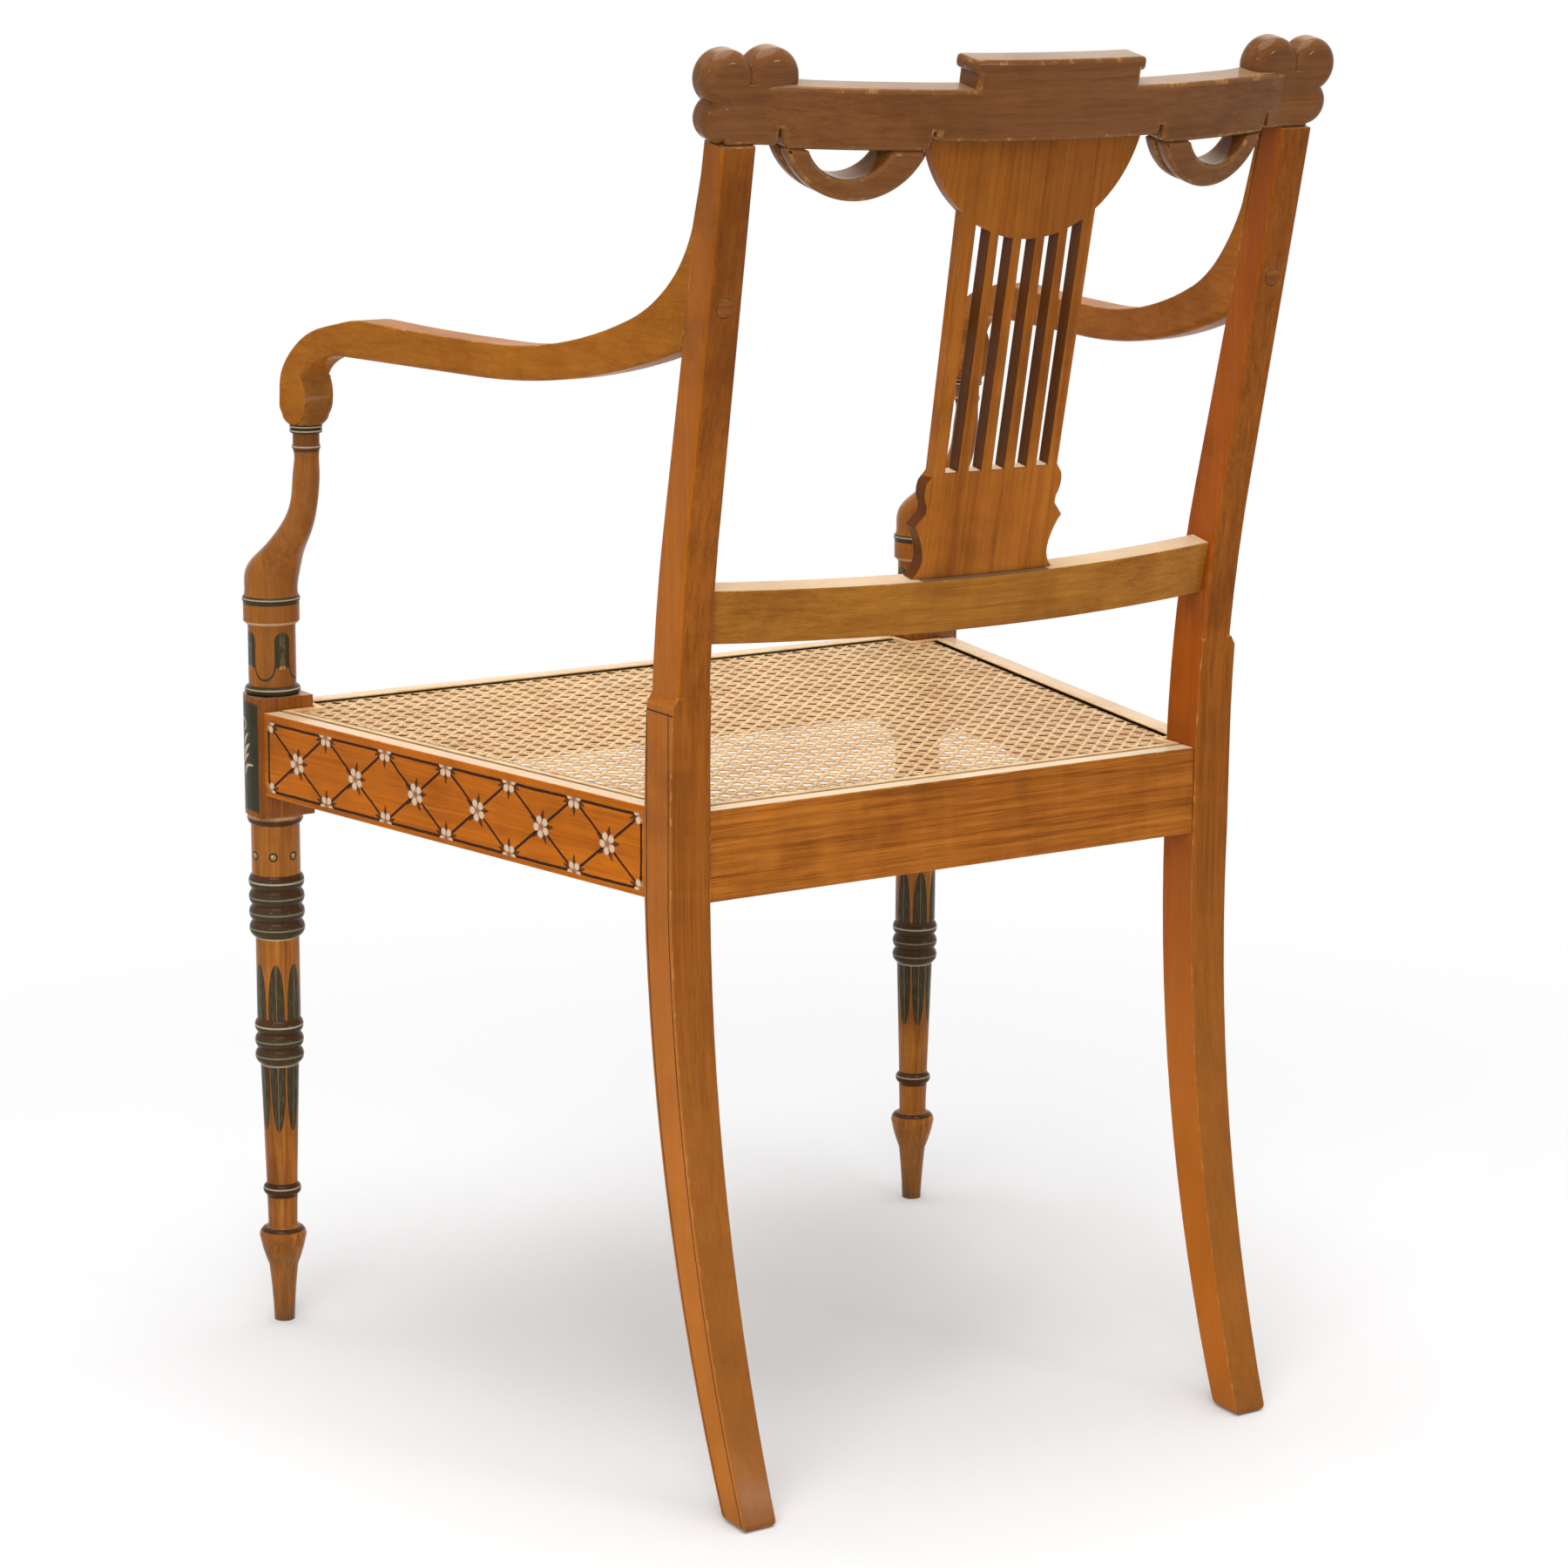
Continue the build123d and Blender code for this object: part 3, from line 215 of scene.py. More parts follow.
class Bench:
    """Lays out the nodes of one material, or of the room's light."""

    def __init__(self, owner: Union[bpy.types.Material, bpy.types.World]) -> None:
        """Start with no nodes.

        Args:
            owner: Material or world the nodes belong to.
        """
        self.owner = owner
        owner.use_nodes = True
        self.tree = owner.node_tree
        self.tree.nodes.clear()
        self.spots: Optional[Tuple[Wire, Wire, Wire]] = None

    @classmethod
    def named(cls, name: str) -> "Bench":
        """Start a new material."""
        return cls(bpy.data.materials.new(name))

    def node(self, kind: str, settings: Optional[Dict[str, object]] = None,
             sockets: Optional[Dict[Union[str, int], object]] = None) -> bpy.types.Node:
        """Add one node.

        Args:
            kind: Blender's name for the node's type.
            settings: Settings, made before the sockets are filled.
            sockets: Values or wires for the input sockets, by name or number.

        Returns:
            The new node.
        """
        made = self.tree.nodes.new(kind)
        for name, value in (settings or {}).items():
            setattr(made, name, value)
        for name, value in (sockets or {}).items():
            if isinstance(value, Wire):
                self.tree.links.new(value.socket, made.inputs[name])
            else:
                made.inputs[name].default_value = value
        return made

    def math(self, operation: str, first: Operand, second: Optional[Operand] = None) -> Wire:
        """Work out one sum.

        Args:
            operation: Blender's name for the sum.
            first: First value.
            second: Second value, if the sum takes one.

        Returns:
            The result.
        """
        sockets: Dict[Union[str, int], object] = {0: first}
        if second is not None:
            sockets[1] = second
        return Wire(self, self.node("ShaderNodeMath", {"operation": operation}, sockets).outputs[0])

    def place(self) -> Tuple[Wire, Wire, Wire]:
        """The point being shaded.

        Returns:
            Its place across, along and up, in millimetres.
        """
        if self.spots is None:
            where = Wire(self, self.node("ShaderNodeTexCoord").outputs["Object"])
            parts = self.node("ShaderNodeSeparateXYZ", {}, {0: where})
            self.spots = tuple(Wire(self, socket) * (1 / MM) for socket in parts.outputs)
        return self.spots

    def vector(self, across: Operand, along: Operand, up: Operand) -> Wire:
        """Gather three values into one vector."""
        made = self.node("ShaderNodeCombineXYZ", {}, {0: across, 1: along, 2: up})
        return Wire(self, made.outputs[0])

    def facing(self, way: Point) -> Wire:
        """How squarely the surface faces a direction.

        Args:
            way: The direction.

        Returns:
            1 for square on, nought for edge on.
        """
        normal = Wire(self, self.node("ShaderNodeNewGeometry").outputs["Normal"])
        dot = self.node("ShaderNodeVectorMath", {"operation": "DOT_PRODUCT"}, {0: normal, 1: way})
        return Wire(self, dot.outputs["Value"])

    def noise(self, where: Wire, detail: float = 2.0, roughness: float = 0.5,
              bend: float = 0.0) -> Wire:
        """A cloudy value about one half.

        Args:
            where: Vector the cloud is laid over.
            detail: Number of finer layers.
            roughness: Strength of the finer layers.
            bend: Distortion.

        Returns:
            The cloud's value.
        """
        made = self.node("ShaderNodeTexNoise", {}, {
            "Vector": where, "Scale": 1.0, "Detail": detail, "Roughness": roughness,
            "Distortion": bend})
        return Wire(self, made.outputs[0])

    def cloud(self, where: Tuple[Wire, Wire, Wire], scale: float, detail: float,
              roughness: float = 0.5) -> Wire:
        """A cloud of the same grain every way.

        Args:
            where: The point being shaded.
            scale: Lumps of the cloud in a millimetre.
            detail: Number of finer layers.
            roughness: Strength of the finer layers.

        Returns:
            The cloud's value.
        """
        return self.noise(self.vector(*(way * scale for way in where)), detail, roughness)

    def mix(self, share: Operand, first: object, second: object) -> Wire:
        """Blend two colours.

        Args:
            share: Share of the second colour.
            first: First colour or wire.
            second: Second colour or wire.

        Returns:
            The blended colour.
        """
        made = self.node("ShaderNodeMix", {"data_type": "RGBA"}, {0: share, 6: first, 7: second})
        return Wire(self, made.outputs[2])

    def angle(self, sideways: Operand, along: Operand) -> Wire:
        """The angle of a point about the origin, in radians."""
        return self.math("ARCTAN2", sideways, along)

    def surface(self, shader: bpy.types.Node,
                kind: str = "ShaderNodeOutputMaterial") -> bpy.types.Material:
        """Send a shader to the surface.

        Args:
            shader: The last shader node.
            kind: Blender's name for the output node.

        Returns:
            The finished material or world.
        """
        self.node(kind, {}, {"Surface": Wire(self, shader.outputs[0])})
        return self.owner

    def blend(self, share: Operand, first: bpy.types.Node,
              second: bpy.types.Node) -> bpy.types.Node:
        """Blend two shaders.

        Args:
            share: Share of the second shader.
            first: First shader node.
            second: Second shader node.

        Returns:
            The blending node.
        """
        return self.node("ShaderNodeMixShader", {}, {
            0: share, 1: Wire(self, first.outputs[0]), 2: Wire(self, second.outputs[0])})

    def painted_on(self, name: str) -> Wire:
        """A value carried by the mesh's faces."""
        return Wire(self, self.node("ShaderNodeAttribute", {"attribute_name": name}).outputs["Fac"])


@dataclass(frozen=True)
class Palette:
    """The painter's colours."""
    black: Colour = tint(33, 22, 14)
    green: Colour = tint(46, 45, 30)
    grey_green: Colour = tint(84, 82, 62)
    russet: Colour = tint(70, 42, 27)
    gilt: Colour = tint(176, 144, 84)
    pale: Colour = tint(214, 194, 162)
    cream: Colour = tint(222, 184, 150)
    rose: Colour = tint(136, 70, 46)


@dataclass(frozen=True)
class Patina:
    """The browns laid over the wood: painted light and shade, a darkening towards the top, and the
    marks of age and wear.
    """
    outer_side_light: Colour = tint(204, 114, 12)
    inner_side_shade: Colour = tint(180, 82, 10)
    pore: Colour = tint(84, 40, 12)
    grime: Colour = tint(92, 48, 14)
    rear_shade: Colour = tint(92, 64, 40)
    top_highlight: Colour = tint(232, 210, 175)
    high_darkening: Colour = tint(84, 46, 16)
    scuffed: Colour = tint(82, 56, 34)
    bared: Colour = tint(206, 150, 84)
    lower_back_shaded: Colour = tint(158, 100, 44)
    lower_side_lit: Colour = tint(206, 122, 34)
    foot: Colour = tint(118, 82, 44)
    block: Colour = tint(92, 40, 14)
    slot: Colour = tint(76, 40, 16)
    joint: Colour = tint(72, 40, 18)
    cane_depth_shade: Colour = tint(66, 38, 20)


PAINT = Palette()
AGE = Patina()


class Decor:
    """Painted work, or shade, laid over the wood."""

    def over(self, bench: Bench, ground: Wire) -> Wire:
        """Lay the paint.

        Args:
            bench: Bench of the material.
            ground: Colour of the bare wood.

        Returns:
            The wood with its paint.
        """
        return ground


@dataclass(frozen=True)
class Trellis(Decor):
    """A bordered trellis of black lines with florets where they cross."""
    start: Point
    way: Point
    outward: Point
    length: float
    low: float
    high: float
    mirrored: bool
    cells: int = 6
    end_margin: float = 6.0
    top_margin: float = 6.2
    bottom_margin: float = 4.6
    stroke: float = 1.9
    floret: float = 7.8

    def flower(self, bench: Bench, along: Wire, up: Wire, size: float,
               turn: float) -> Tuple[Wire, Wire, Wire]:
        """One floret of five petals.

        Args:
            bench: Bench of the material.
            along: Distance from the middle along the rail.
            up: Distance from the middle up the rail.
            size: Reach of the petals.
            turn: Turn of the petals, in radians.

        Returns:
            Masks of the petals, the sprigs behind them and the red between them.
        """
        reach = along.reach(up)
        lobes = abs(((bench.angle(up, along) + turn) * 2.5).cosine())
        edge = (0.4 + 0.6 * lobes ** 0.5) * size
        petals = (edge - reach).fade(-0.2, 0.35)
        rim = (edge - reach).fade(1.2, 0.2)
        sprigs = ((1 - lobes) ** 1.3 * (size * 0.95) + size * 0.62 - reach).fade(-0.1, 0.6)
        reds = reach.fade(size * 0.45, size * 0.15) | lobes.fade(0.5, 0.2) | rim * 0.8
        return petals, sprigs, reds

    def over(self, bench: Bench, ground: Wire) -> Wire:
        """Lay the border, the trellis and the florets on the outer face.

        Args:
            bench: Bench of the material.
            ground: Colour of the wood.

        Returns:
            The colour with this work over it.
        """
        across, y, z = bench.place()
        x = abs(across) if self.mirrored else across
        waver = bench.cloud((x, y, z), 0.09, 1.0) - 0.5
        along = (x - self.start[0]) * self.way[0] + (y - self.start[1]) * self.way[1]
        along = along - self.end_margin + waver
        span = self.length - 2 * self.end_margin
        tall = self.high - self.low - self.top_margin - self.bottom_margin
        up = z - (self.low + self.bottom_margin + tall / 2) + waver * 0.8
        cell = span / self.cells
        face = bench.facing(self.outward).fade(0.7, 0.9)
        if self.mirrored:
            other = (-self.outward[0], self.outward[1], self.outward[2])
            far = bench.facing(other).fade(0.7, 0.9)
            face = (face & across.fade(0.0, 1.0)) | (far & across.fade(0.0, -1.0))
        inside_along = along.within(-self.stroke / 2, span + self.stroke / 2)
        half_field = (tall + self.stroke) / 2
        inside_up = abs(up).fade(half_field + 0.2, half_field - 0.2)
        field_mask = inside_along & inside_up & face
        ends = (abs(along - span / 2) - span / 2).line(self.stroke)
        border = (abs(up) - tall / 2).line(self.stroke) | ends
        middle = ((along / cell).wrapped() - 0.5) * cell
        joint = ((along / cell + 0.5).wrapped() - 0.5) * cell
        slope = math.hypot(cell, tall)
        cross = (abs(up) * (cell / slope) - abs(middle) * (tall / slope)).line(self.stroke * 0.95)
        broken = bench.cloud((x, y, z), 0.5, 3.0).fade(0.24, 0.42)
        lines = (border | cross) & field_mask
        colour = bench.mix(lines * (broken * 0.18 + 0.78), ground, PAINT.black)
        rim = tall / 2 - abs(up)
        bloom = bench.cloud((x, y, z), 0.6, 2.0).fade(0.35, 0.65)
        for where, height, size, turn in ((middle, up, self.floret, 0.5),
                                          (joint, rim, self.floret * 0.94, math.pi / 2)):
            petals, sprigs, reds = self.flower(bench, where, height, size, turn)
            petal = bench.mix(bloom, PAINT.cream, PAINT.pale)
            petal = bench.mix(reds * 0.85, petal, PAINT.rose)
            colour = bench.mix(sprigs * field_mask * 0.8, colour, PAINT.black)
            colour = bench.mix(petals * field_mask * 0.96, colour, petal)
        return colour


@dataclass(frozen=True)
class Stringing(Decor):
    """Thin black lines along both edges of a rear leg's outer side."""
    seat_back: float
    seat_front: float
    bend_low: float
    sweep_back: float
    sweep_front: float
    ledge: float
    inset: float = 3.0
    stroke: float = 1.1
    outer: float = 199.0
    lower_leg_span: Tuple[float, float] = (430.0, 170.0)

    def edge(self, z: Wire, seat: float, sweep: float) -> Wire:
        """Depth of the leg's edge at each height.

        Args:
            z: Height.
            seat: Depth of the edge at the seat.
            sweep: How far the edge has swept back at the floor.

        Returns:
            Depth of the edge.
        """
        radius = (sweep * sweep + self.bend_low * self.bend_low) / (2 * sweep)
        drop = (self.bend_low - z) | 0.0
        return (seat + radius) - (radius * radius - drop * drop).root()

    def over(self, bench: Bench, ground: Wire) -> Wire:
        """Draw the lines on the outer face below the ledge, over the paler lower leg, whose side
        faces are painted lighter than its back faces.

        Args:
            bench: Bench of the material.
            ground: Colour of the wood.

        Returns:
            The colour with this work over it.
        """
        x, y, z = bench.place()
        sideways = abs(bench.facing((1, 0, 0))).fade(0.75, 0.95)
        # Painted light and shade: the lower leg, fading in from 430 mm down to 170 mm, takes a
        # lighter colour on its side faces than on its back faces.
        lower_leg_lit_and_shaded = bench.mix(sideways, AGE.lower_back_shaded, AGE.lower_side_lit)
        ground = bench.mix(z.fade(*self.lower_leg_span) * 0.45, ground, lower_leg_lit_and_shaded)
        side = sideways & (abs(x) - self.outer).fade(-2.0, 0.0)
        side = side & z.fade(self.ledge - 3.0, self.ledge - 3.6)
        back = (y - self.edge(z, self.seat_back, self.sweep_back) + self.inset).line(self.stroke)
        front = (y - self.edge(z, self.seat_front, self.sweep_front) - self.inset).line(self.stroke)
        head = (z - (self.ledge - self.inset - 1.6)).line(self.stroke)
        worn = bench.noise(bench.vector(y * 0.2, z * 0.2, 0.0), 3.0).fade(0.2, 0.5)
        return bench.mix((back | front | head) & side & (worn * 0.4 + 0.5), ground, PAINT.black)


@dataclass(frozen=True)
class Round(Decor):
    """Painted work on a turned piece about an upright axis."""
    axis: Tuple[float, float]
    first_leaf: float = math.radians(57.8)
    leaf_count: int = 7

    def about(self, bench: Bench) -> Tuple[Wire, Wire, Wire]:
        """The point being shaded, about the axis, the two sides mirrored.

        Args:
            bench: Bench of the material.

        Returns:
            Its angle, radius and height.
        """
        x, y, z = bench.place()
        out = abs(x) - self.axis[0]
        back = y - self.axis[1]
        return bench.angle(back, out), out.reach(back), z

    def spaced(self, angle: Wire, reach: Wire, count: int, first: float) -> Wire:
        """Distance round the turning from the nearest of some even places.

        Args:
            angle: Angle about the axis.
            reach: Radius.
            count: Number of places round the turning.
            first: Angle of the first place.

        Returns:
            Distance round the surface, in millimetres.
        """
        turn = (angle - first) * (count / (2 * math.pi)) + 0.5 + count
        return (turn.wrapped() - 0.5) * (2 * math.pi / count) * reach

    def rings(self, bench: Bench, colour: Wire, low: float, high: float, count: int) -> Wire:
        """Paint a group of rings: dark below, russet above, a painted highlight along each crown
        and over the top ring, and a pale line under the group.

        Args:
            bench: Bench of the material.
            colour: Colour so far.
            low: Bottom of the group.
            high: Top of the group.
            count: Number of rings.

        Returns:
            The painted colour.
        """
        z = bench.place()[2]
        pitch = (high - low) / count
        step = ((z - low) / pitch).wrapped()
        group = z.within(low - 0.6, high)
        dark = bench.mix(step.fade(0.74, 0.9), PAINT.green, PAINT.russet)
        # Painted highlight: a faint pale line along each ring's crown.
        dark = bench.mix(step.fade(0.46, 0.5) * step.fade(0.6, 0.54) * 0.3, dark, PAINT.pale)
        painted = bench.mix(group * 0.92, colour, dark)
        # Painted highlight: a pale line along the top ring's crown.
        shine = z.within(high - pitch * 0.5, high - pitch * 0.4)
        painted = bench.mix(shine * 0.5, painted, PAINT.pale)
        return bench.mix(z.within(low - 1.6, low - 0.2) * 0.45, painted, PAINT.pale)

    def leaves(self, bench: Bench, colour: Wire, root: float, tip: float, half: float,
               taper: float) -> Wire:
        """Paint a row of lance-shaped leaves.

        Args:
            bench: Bench of the material.
            colour: Colour so far.
            root: Height of the leaves' roots.
            tip: Height of their tips.
            half: Half width of a leaf.
            taper: Power that draws the tip in.

        Returns:
            The painted colour.
        """
        angle, reach, z = self.about(bench)
        gap = abs(self.spaced(angle, reach, self.leaf_count, self.first_leaf))
        share = (z - root) / (tip - root)
        wide = (1 - (share | 0.0) ** taper).root() * half
        leaf = (wide - gap).fade(-0.2, 0.3) & share.fade(1.0, 0.985) & share.fade(-0.01, 0.0)
        vein = bench.noise(bench.vector(gap * 0.9, z * 0.12, angle * 4.0), 3.0).fade(0.42, 0.7)
        blade = bench.mix(vein * 0.55, PAINT.green, PAINT.grey_green)
        blade = bench.mix(gap.fade(0.5, 0.1) * 0.35, blade, PAINT.gilt)
        blade = bench.mix((wide - gap).fade(0.7, 0.2) * 0.7, blade, PAINT.black)
        return bench.mix(leaf * 0.95, colour, blade)


@dataclass(frozen=True)
class LegPaint(Round):
    """The painted work of a front leg."""
    block_low: float = 362.0
    block_high: float = 444.0
    low_rings: Tuple[float, float] = (186.0, 217.8)
    high_rings: Tuple[float, float] = (276.0, 319.6)
    half_block: float = 20.0
    pearl_rise: float = 13.6
    spray: Tuple[Tuple[Tuple[float, float], float, Tuple[float, float]], ...] = (
        ((0.0, 2.0), 0.0, (20.0, 0.7)), ((14.5, 11.0), 30.0, (6.0, 1.0)),
        ((15.2, 4.0), 34.0, (6.4, 1.2)), ((14.5, -2.0), 40.0, (5.2, 1.1)),
        ((18.5, -6.5), 74.0, (5.5, 0.9)), ((15.0, -9.5), 20.0, (4.6, 0.9)),
        ((6.4, 9.0), 28.0, (6.0, 1.1)), ((6.8, -1.0), 32.0, (6.4, 1.2)),
        ((6.2, -14.0), 40.0, (5.4, 1.0)))

    def pearls(self, bench: Bench, colour: Wire) -> Wire:
        """Paint the row of pearls on the drum.

        Args:
            bench: Bench of the material.
            colour: Colour so far.

        Returns:
            The painted colour.
        """
        angle, reach, z = self.about(bench)
        across = self.spaced(angle, reach, self.leaf_count, self.first_leaf)
        up = z - (self.high_rings[1] + self.pearl_rise)
        size = across.reach(up)
        shine = (across + 0.7).reach(up - 0.8)
        colour = bench.mix(size.fade(3.5, 2.9), colour, PAINT.green)
        colour = bench.mix(size.fade(2.4, 1.4) * 0.75, colour, PAINT.gilt)
        return bench.mix(shine.fade(1.2, 0.3) * 0.8, colour, PAINT.pale)

    def sprig(self, across: Wire, up: Wire, spot: Tuple[float, float], lean: float,
              size: Tuple[float, float]) -> Wire:
        """One gilt leaf stroke on the block's panel.

        Args:
            across: Distance from the panel's middle.
            up: Height above the panel's middle.
            spot: Middle of the stroke.
            lean: Lean of the stroke from upright, in degrees.
            size: Half length and half width.

        Returns:
            Mask of the stroke.
        """
        turn = math.radians(lean)
        side = across - spot[0]
        rise = up - spot[1]
        long = rise * math.cos(turn) + side * math.sin(turn)
        wide = side * math.cos(turn) - rise * math.sin(turn)
        bow = (wide - long * long * 0.03) / size[1]
        run = long / size[0]
        return (run * run + bow * bow).fade(1.15, 0.75)

    def panel(self, bench: Bench, colour: Wire) -> Wire:
        """Paint the dark panel round the outer corner of the block, with its gilt spray.

        Args:
            bench: Bench of the material.
            colour: Colour so far.

        Returns:
            The painted colour.
        """
        x, y, z = bench.place()
        out = abs(x) - self.axis[0]
        front = self.axis[1] - y
        outer = (abs(bench.facing((1, 0, 0))) & out.fade(2.0, 8.0)).fade(0.2, 0.4)
        fore = (-bench.facing((0, 1, 0)) & front.fade(2.0, 8.0)).fade(0.2, 0.4)
        skin = outer | fore
        tall = z.within(self.block_low + 4.4, self.block_high - 5.0)
        edge = self.half_block - 3.4
        cover = skin & tall & (front + edge).fade(-0.1, 0.3) & (out + edge).fade(-0.1, 0.3)
        margin = skin & z.within(self.block_low + 3.2, self.block_high - 3.8)
        margin = margin & (front + edge + 1.4).fade(-0.1, 0.3) & (out + edge + 1.4).fade(-0.1, 0.3)
        colour = bench.mix(margin * 0.55, colour, PAINT.black)
        cloud = bench.cloud((x, y, z), 0.12, 3.0)
        dark = bench.mix(cloud.fade(0.35, 0.7) * 0.12, PAINT.green, PAINT.grey_green)
        colour = bench.mix(cover * 0.97, colour, dark)
        across = abs(out - front) * 0.82
        up = z - (self.block_low + self.block_high) / 2
        curl = (across - 11.5).reach(up - 21.0)
        strokes = (curl - 4.2).line(1.1) & (across + up).fade(29.0, 31.0)
        for spot, lean, size in self.spray:
            strokes = strokes | self.sprig(across, up, spot, lean, size)
        return bench.mix(strokes & cover, colour, bench.mix(cloud, PAINT.gilt, PAINT.pale))

    def over(self, bench: Bench, ground: Wire) -> Wire:
        """Paint the rings, leaves, pearls and block panel.

        Args:
            bench: Bench of the material.
            ground: Colour of the wood.

        Returns:
            The colour with this work over it.
        """
        x, y, z = bench.place()
        cloud = bench.cloud((x, y, z), 0.07, 3.0).fade(0.25, 0.65)
        colour = bench.mix(z.fade(64.0, 52.0) * cloud * 0.6, ground, AGE.foot)
        colour = bench.mix(z.fade(360.0, 364.0) * 0.4, colour, AGE.block)
        colour = self.leaves(bench, colour, self.low_rings[1], self.low_rings[1] + 39.7, 5.7, 2.8)
        colour = self.leaves(bench, colour, self.low_rings[0], self.low_rings[0] - 48.0, 5.5, 2.2)
        colour = self.pearls(bench, colour)
        colour = self.rings(bench, colour, self.low_rings[0], self.low_rings[1], 3)
        colour = self.rings(bench, colour, self.high_rings[0], self.high_rings[1], 4)
        for low, high in ((65.4, 67.8), (89.8, 100.0), (354.6, 358.4)):
            colour = bench.mix(z.within(low, high) * 0.85, colour, PAINT.black)
        # Painted highlights: pale lines on the ankle ring and above the ring under the block.
        for low, high in ((96.0, 97.0), (359.4, 361.4)):
            colour = bench.mix(z.within(low, high) * 0.5, colour, PAINT.pale)
        return self.panel(bench, colour)


@dataclass(frozen=True)
class SupportPaint(Round):
    """The painted work of an arm support."""
    drum_low: float = 450.0
    black_rings: Tuple[Point, ...] = (
        (443.5, 450.2, 448.2), (505.8, 511.2, 509.6), (615.4, 616.6, 618.2),
        (626.8, 632.8, 628.6), (630.6, 632.8, 631.4))

    def husks(self, bench: Bench, colour: Wire) -> Wire:
        """Paint four husks round the drum, linked by hanging lines.

        Args:
            bench: Bench of the material.
            colour: Colour so far.

        Returns:
            The painted colour.
        """
        angle, reach, z = self.about(bench)
        across = abs(self.spaced(angle, reach, 4, 0.0))
        foot = self.drum_low + 14.5
        rise = ((z - foot - 16.6) / 6.4) | 0.0
        half = (1 - rise * rise).root() * 5.7
        husk = (half - across).fade(-0.2, 0.3) & z.within(foot - 1.2, foot + 23.0)
        cloud = bench.noise(bench.vector(across * 0.5, z * 0.25, angle * 3.0), 3.0)
        middle = across.fade(2.9, 1.6) * cloud.fade(0.3, 0.62)
        fill = bench.mix(middle, PAINT.green, PAINT.grey_green)
        apart = 12.65 - across
        hang = (apart / 7.2).reach((z - foot) / 9.4)
        loop = ((hang - 1) * 8.6).line(1.5) & z.fade(foot + 0.8, foot - 0.4)
        colour = bench.mix(loop * 0.85, colour, PAINT.green)
        colour = bench.mix(husk * 0.95, colour, fill)
        tips = across.line(5.0) & (z - foot + 1.2).line(2.2)
        return bench.mix(tips * cloud.fade(0.4, 0.6) * 0.8, colour, PAINT.gilt)

    def over(self, bench: Bench, ground: Wire) -> Wire:
        """Paint the husks and the black rings, each black ring with a pale line that is a painted
        highlight.

        Args:
            bench: Bench of the material.
            ground: Colour of the wood.

        Returns:
            The colour with this work over it.
        """
        z = bench.place()[2]
        colour = self.husks(bench, ground)
        colour = bench.mix(z.within(492.4, 494.2) * 0.45, colour, PAINT.pale)
        colour = bench.mix(z.within(614.4, 628.0) * 0.45, colour, PAINT.russet)
        for low, high, shine in self.black_rings:
            colour = bench.mix(z.within(low, high) * 0.94, colour, PAINT.green)
            # Painted highlight: a pale line along each black ring.
            colour = bench.mix(z.within(shine - 0.5, shine + 0.4) * 0.55, colour, PAINT.pale)
        return colour


@dataclass(frozen=True)
class SlotShade(Decor):
    """The dark sides of the splat's slots and of its foot: unpolished wood, darkened further by
    painted shade.
    """
    foot: float
    reach: float = 41.0

    def over(self, bench: Bench, ground: Wire) -> Wire:
        """Paint shade on the sides of the slots and the foot.

        Args:
            bench: Bench of the material.
            ground: Colour of the wood.

        Returns:
            The colour with this work over it.
        """
        x, _, z = bench.place()
        inner = abs(x).fade(self.reach, self.reach - 1.0) | z.fade(self.foot, self.foot - 2.0)
        # Painted shade: faces turned sideways in the slots and on the foot are darkened.
        side = abs(bench.facing((1, 0, 0))).fade(0.4, 0.75) & inner
        return bench.mix(side * 0.86, ground, AGE.slot)


@dataclass(frozen=True)
class JointShade(Decor):
    """The painted shadow of the splat along the joint, on top of the lower rail."""
    reach: float = 47.0

    def over(self, bench: Bench, ground: Wire) -> Wire:
        """Paint the splat's shadow on the top of the rail along the joint.

        Args:
            bench: Bench of the material.
            ground: Colour of the wood.

        Returns:
            The colour with this work over it.
        """
        # Painted shadow: up-facing faces of the rail near the splat are darkened.
        top = bench.facing((0, 0, 1)).fade(0.5, 0.8)
        joint = abs(bench.place()[0]).fade(self.reach + 2.0, self.reach) & top
        return bench.mix(joint * 0.75, ground, AGE.joint)


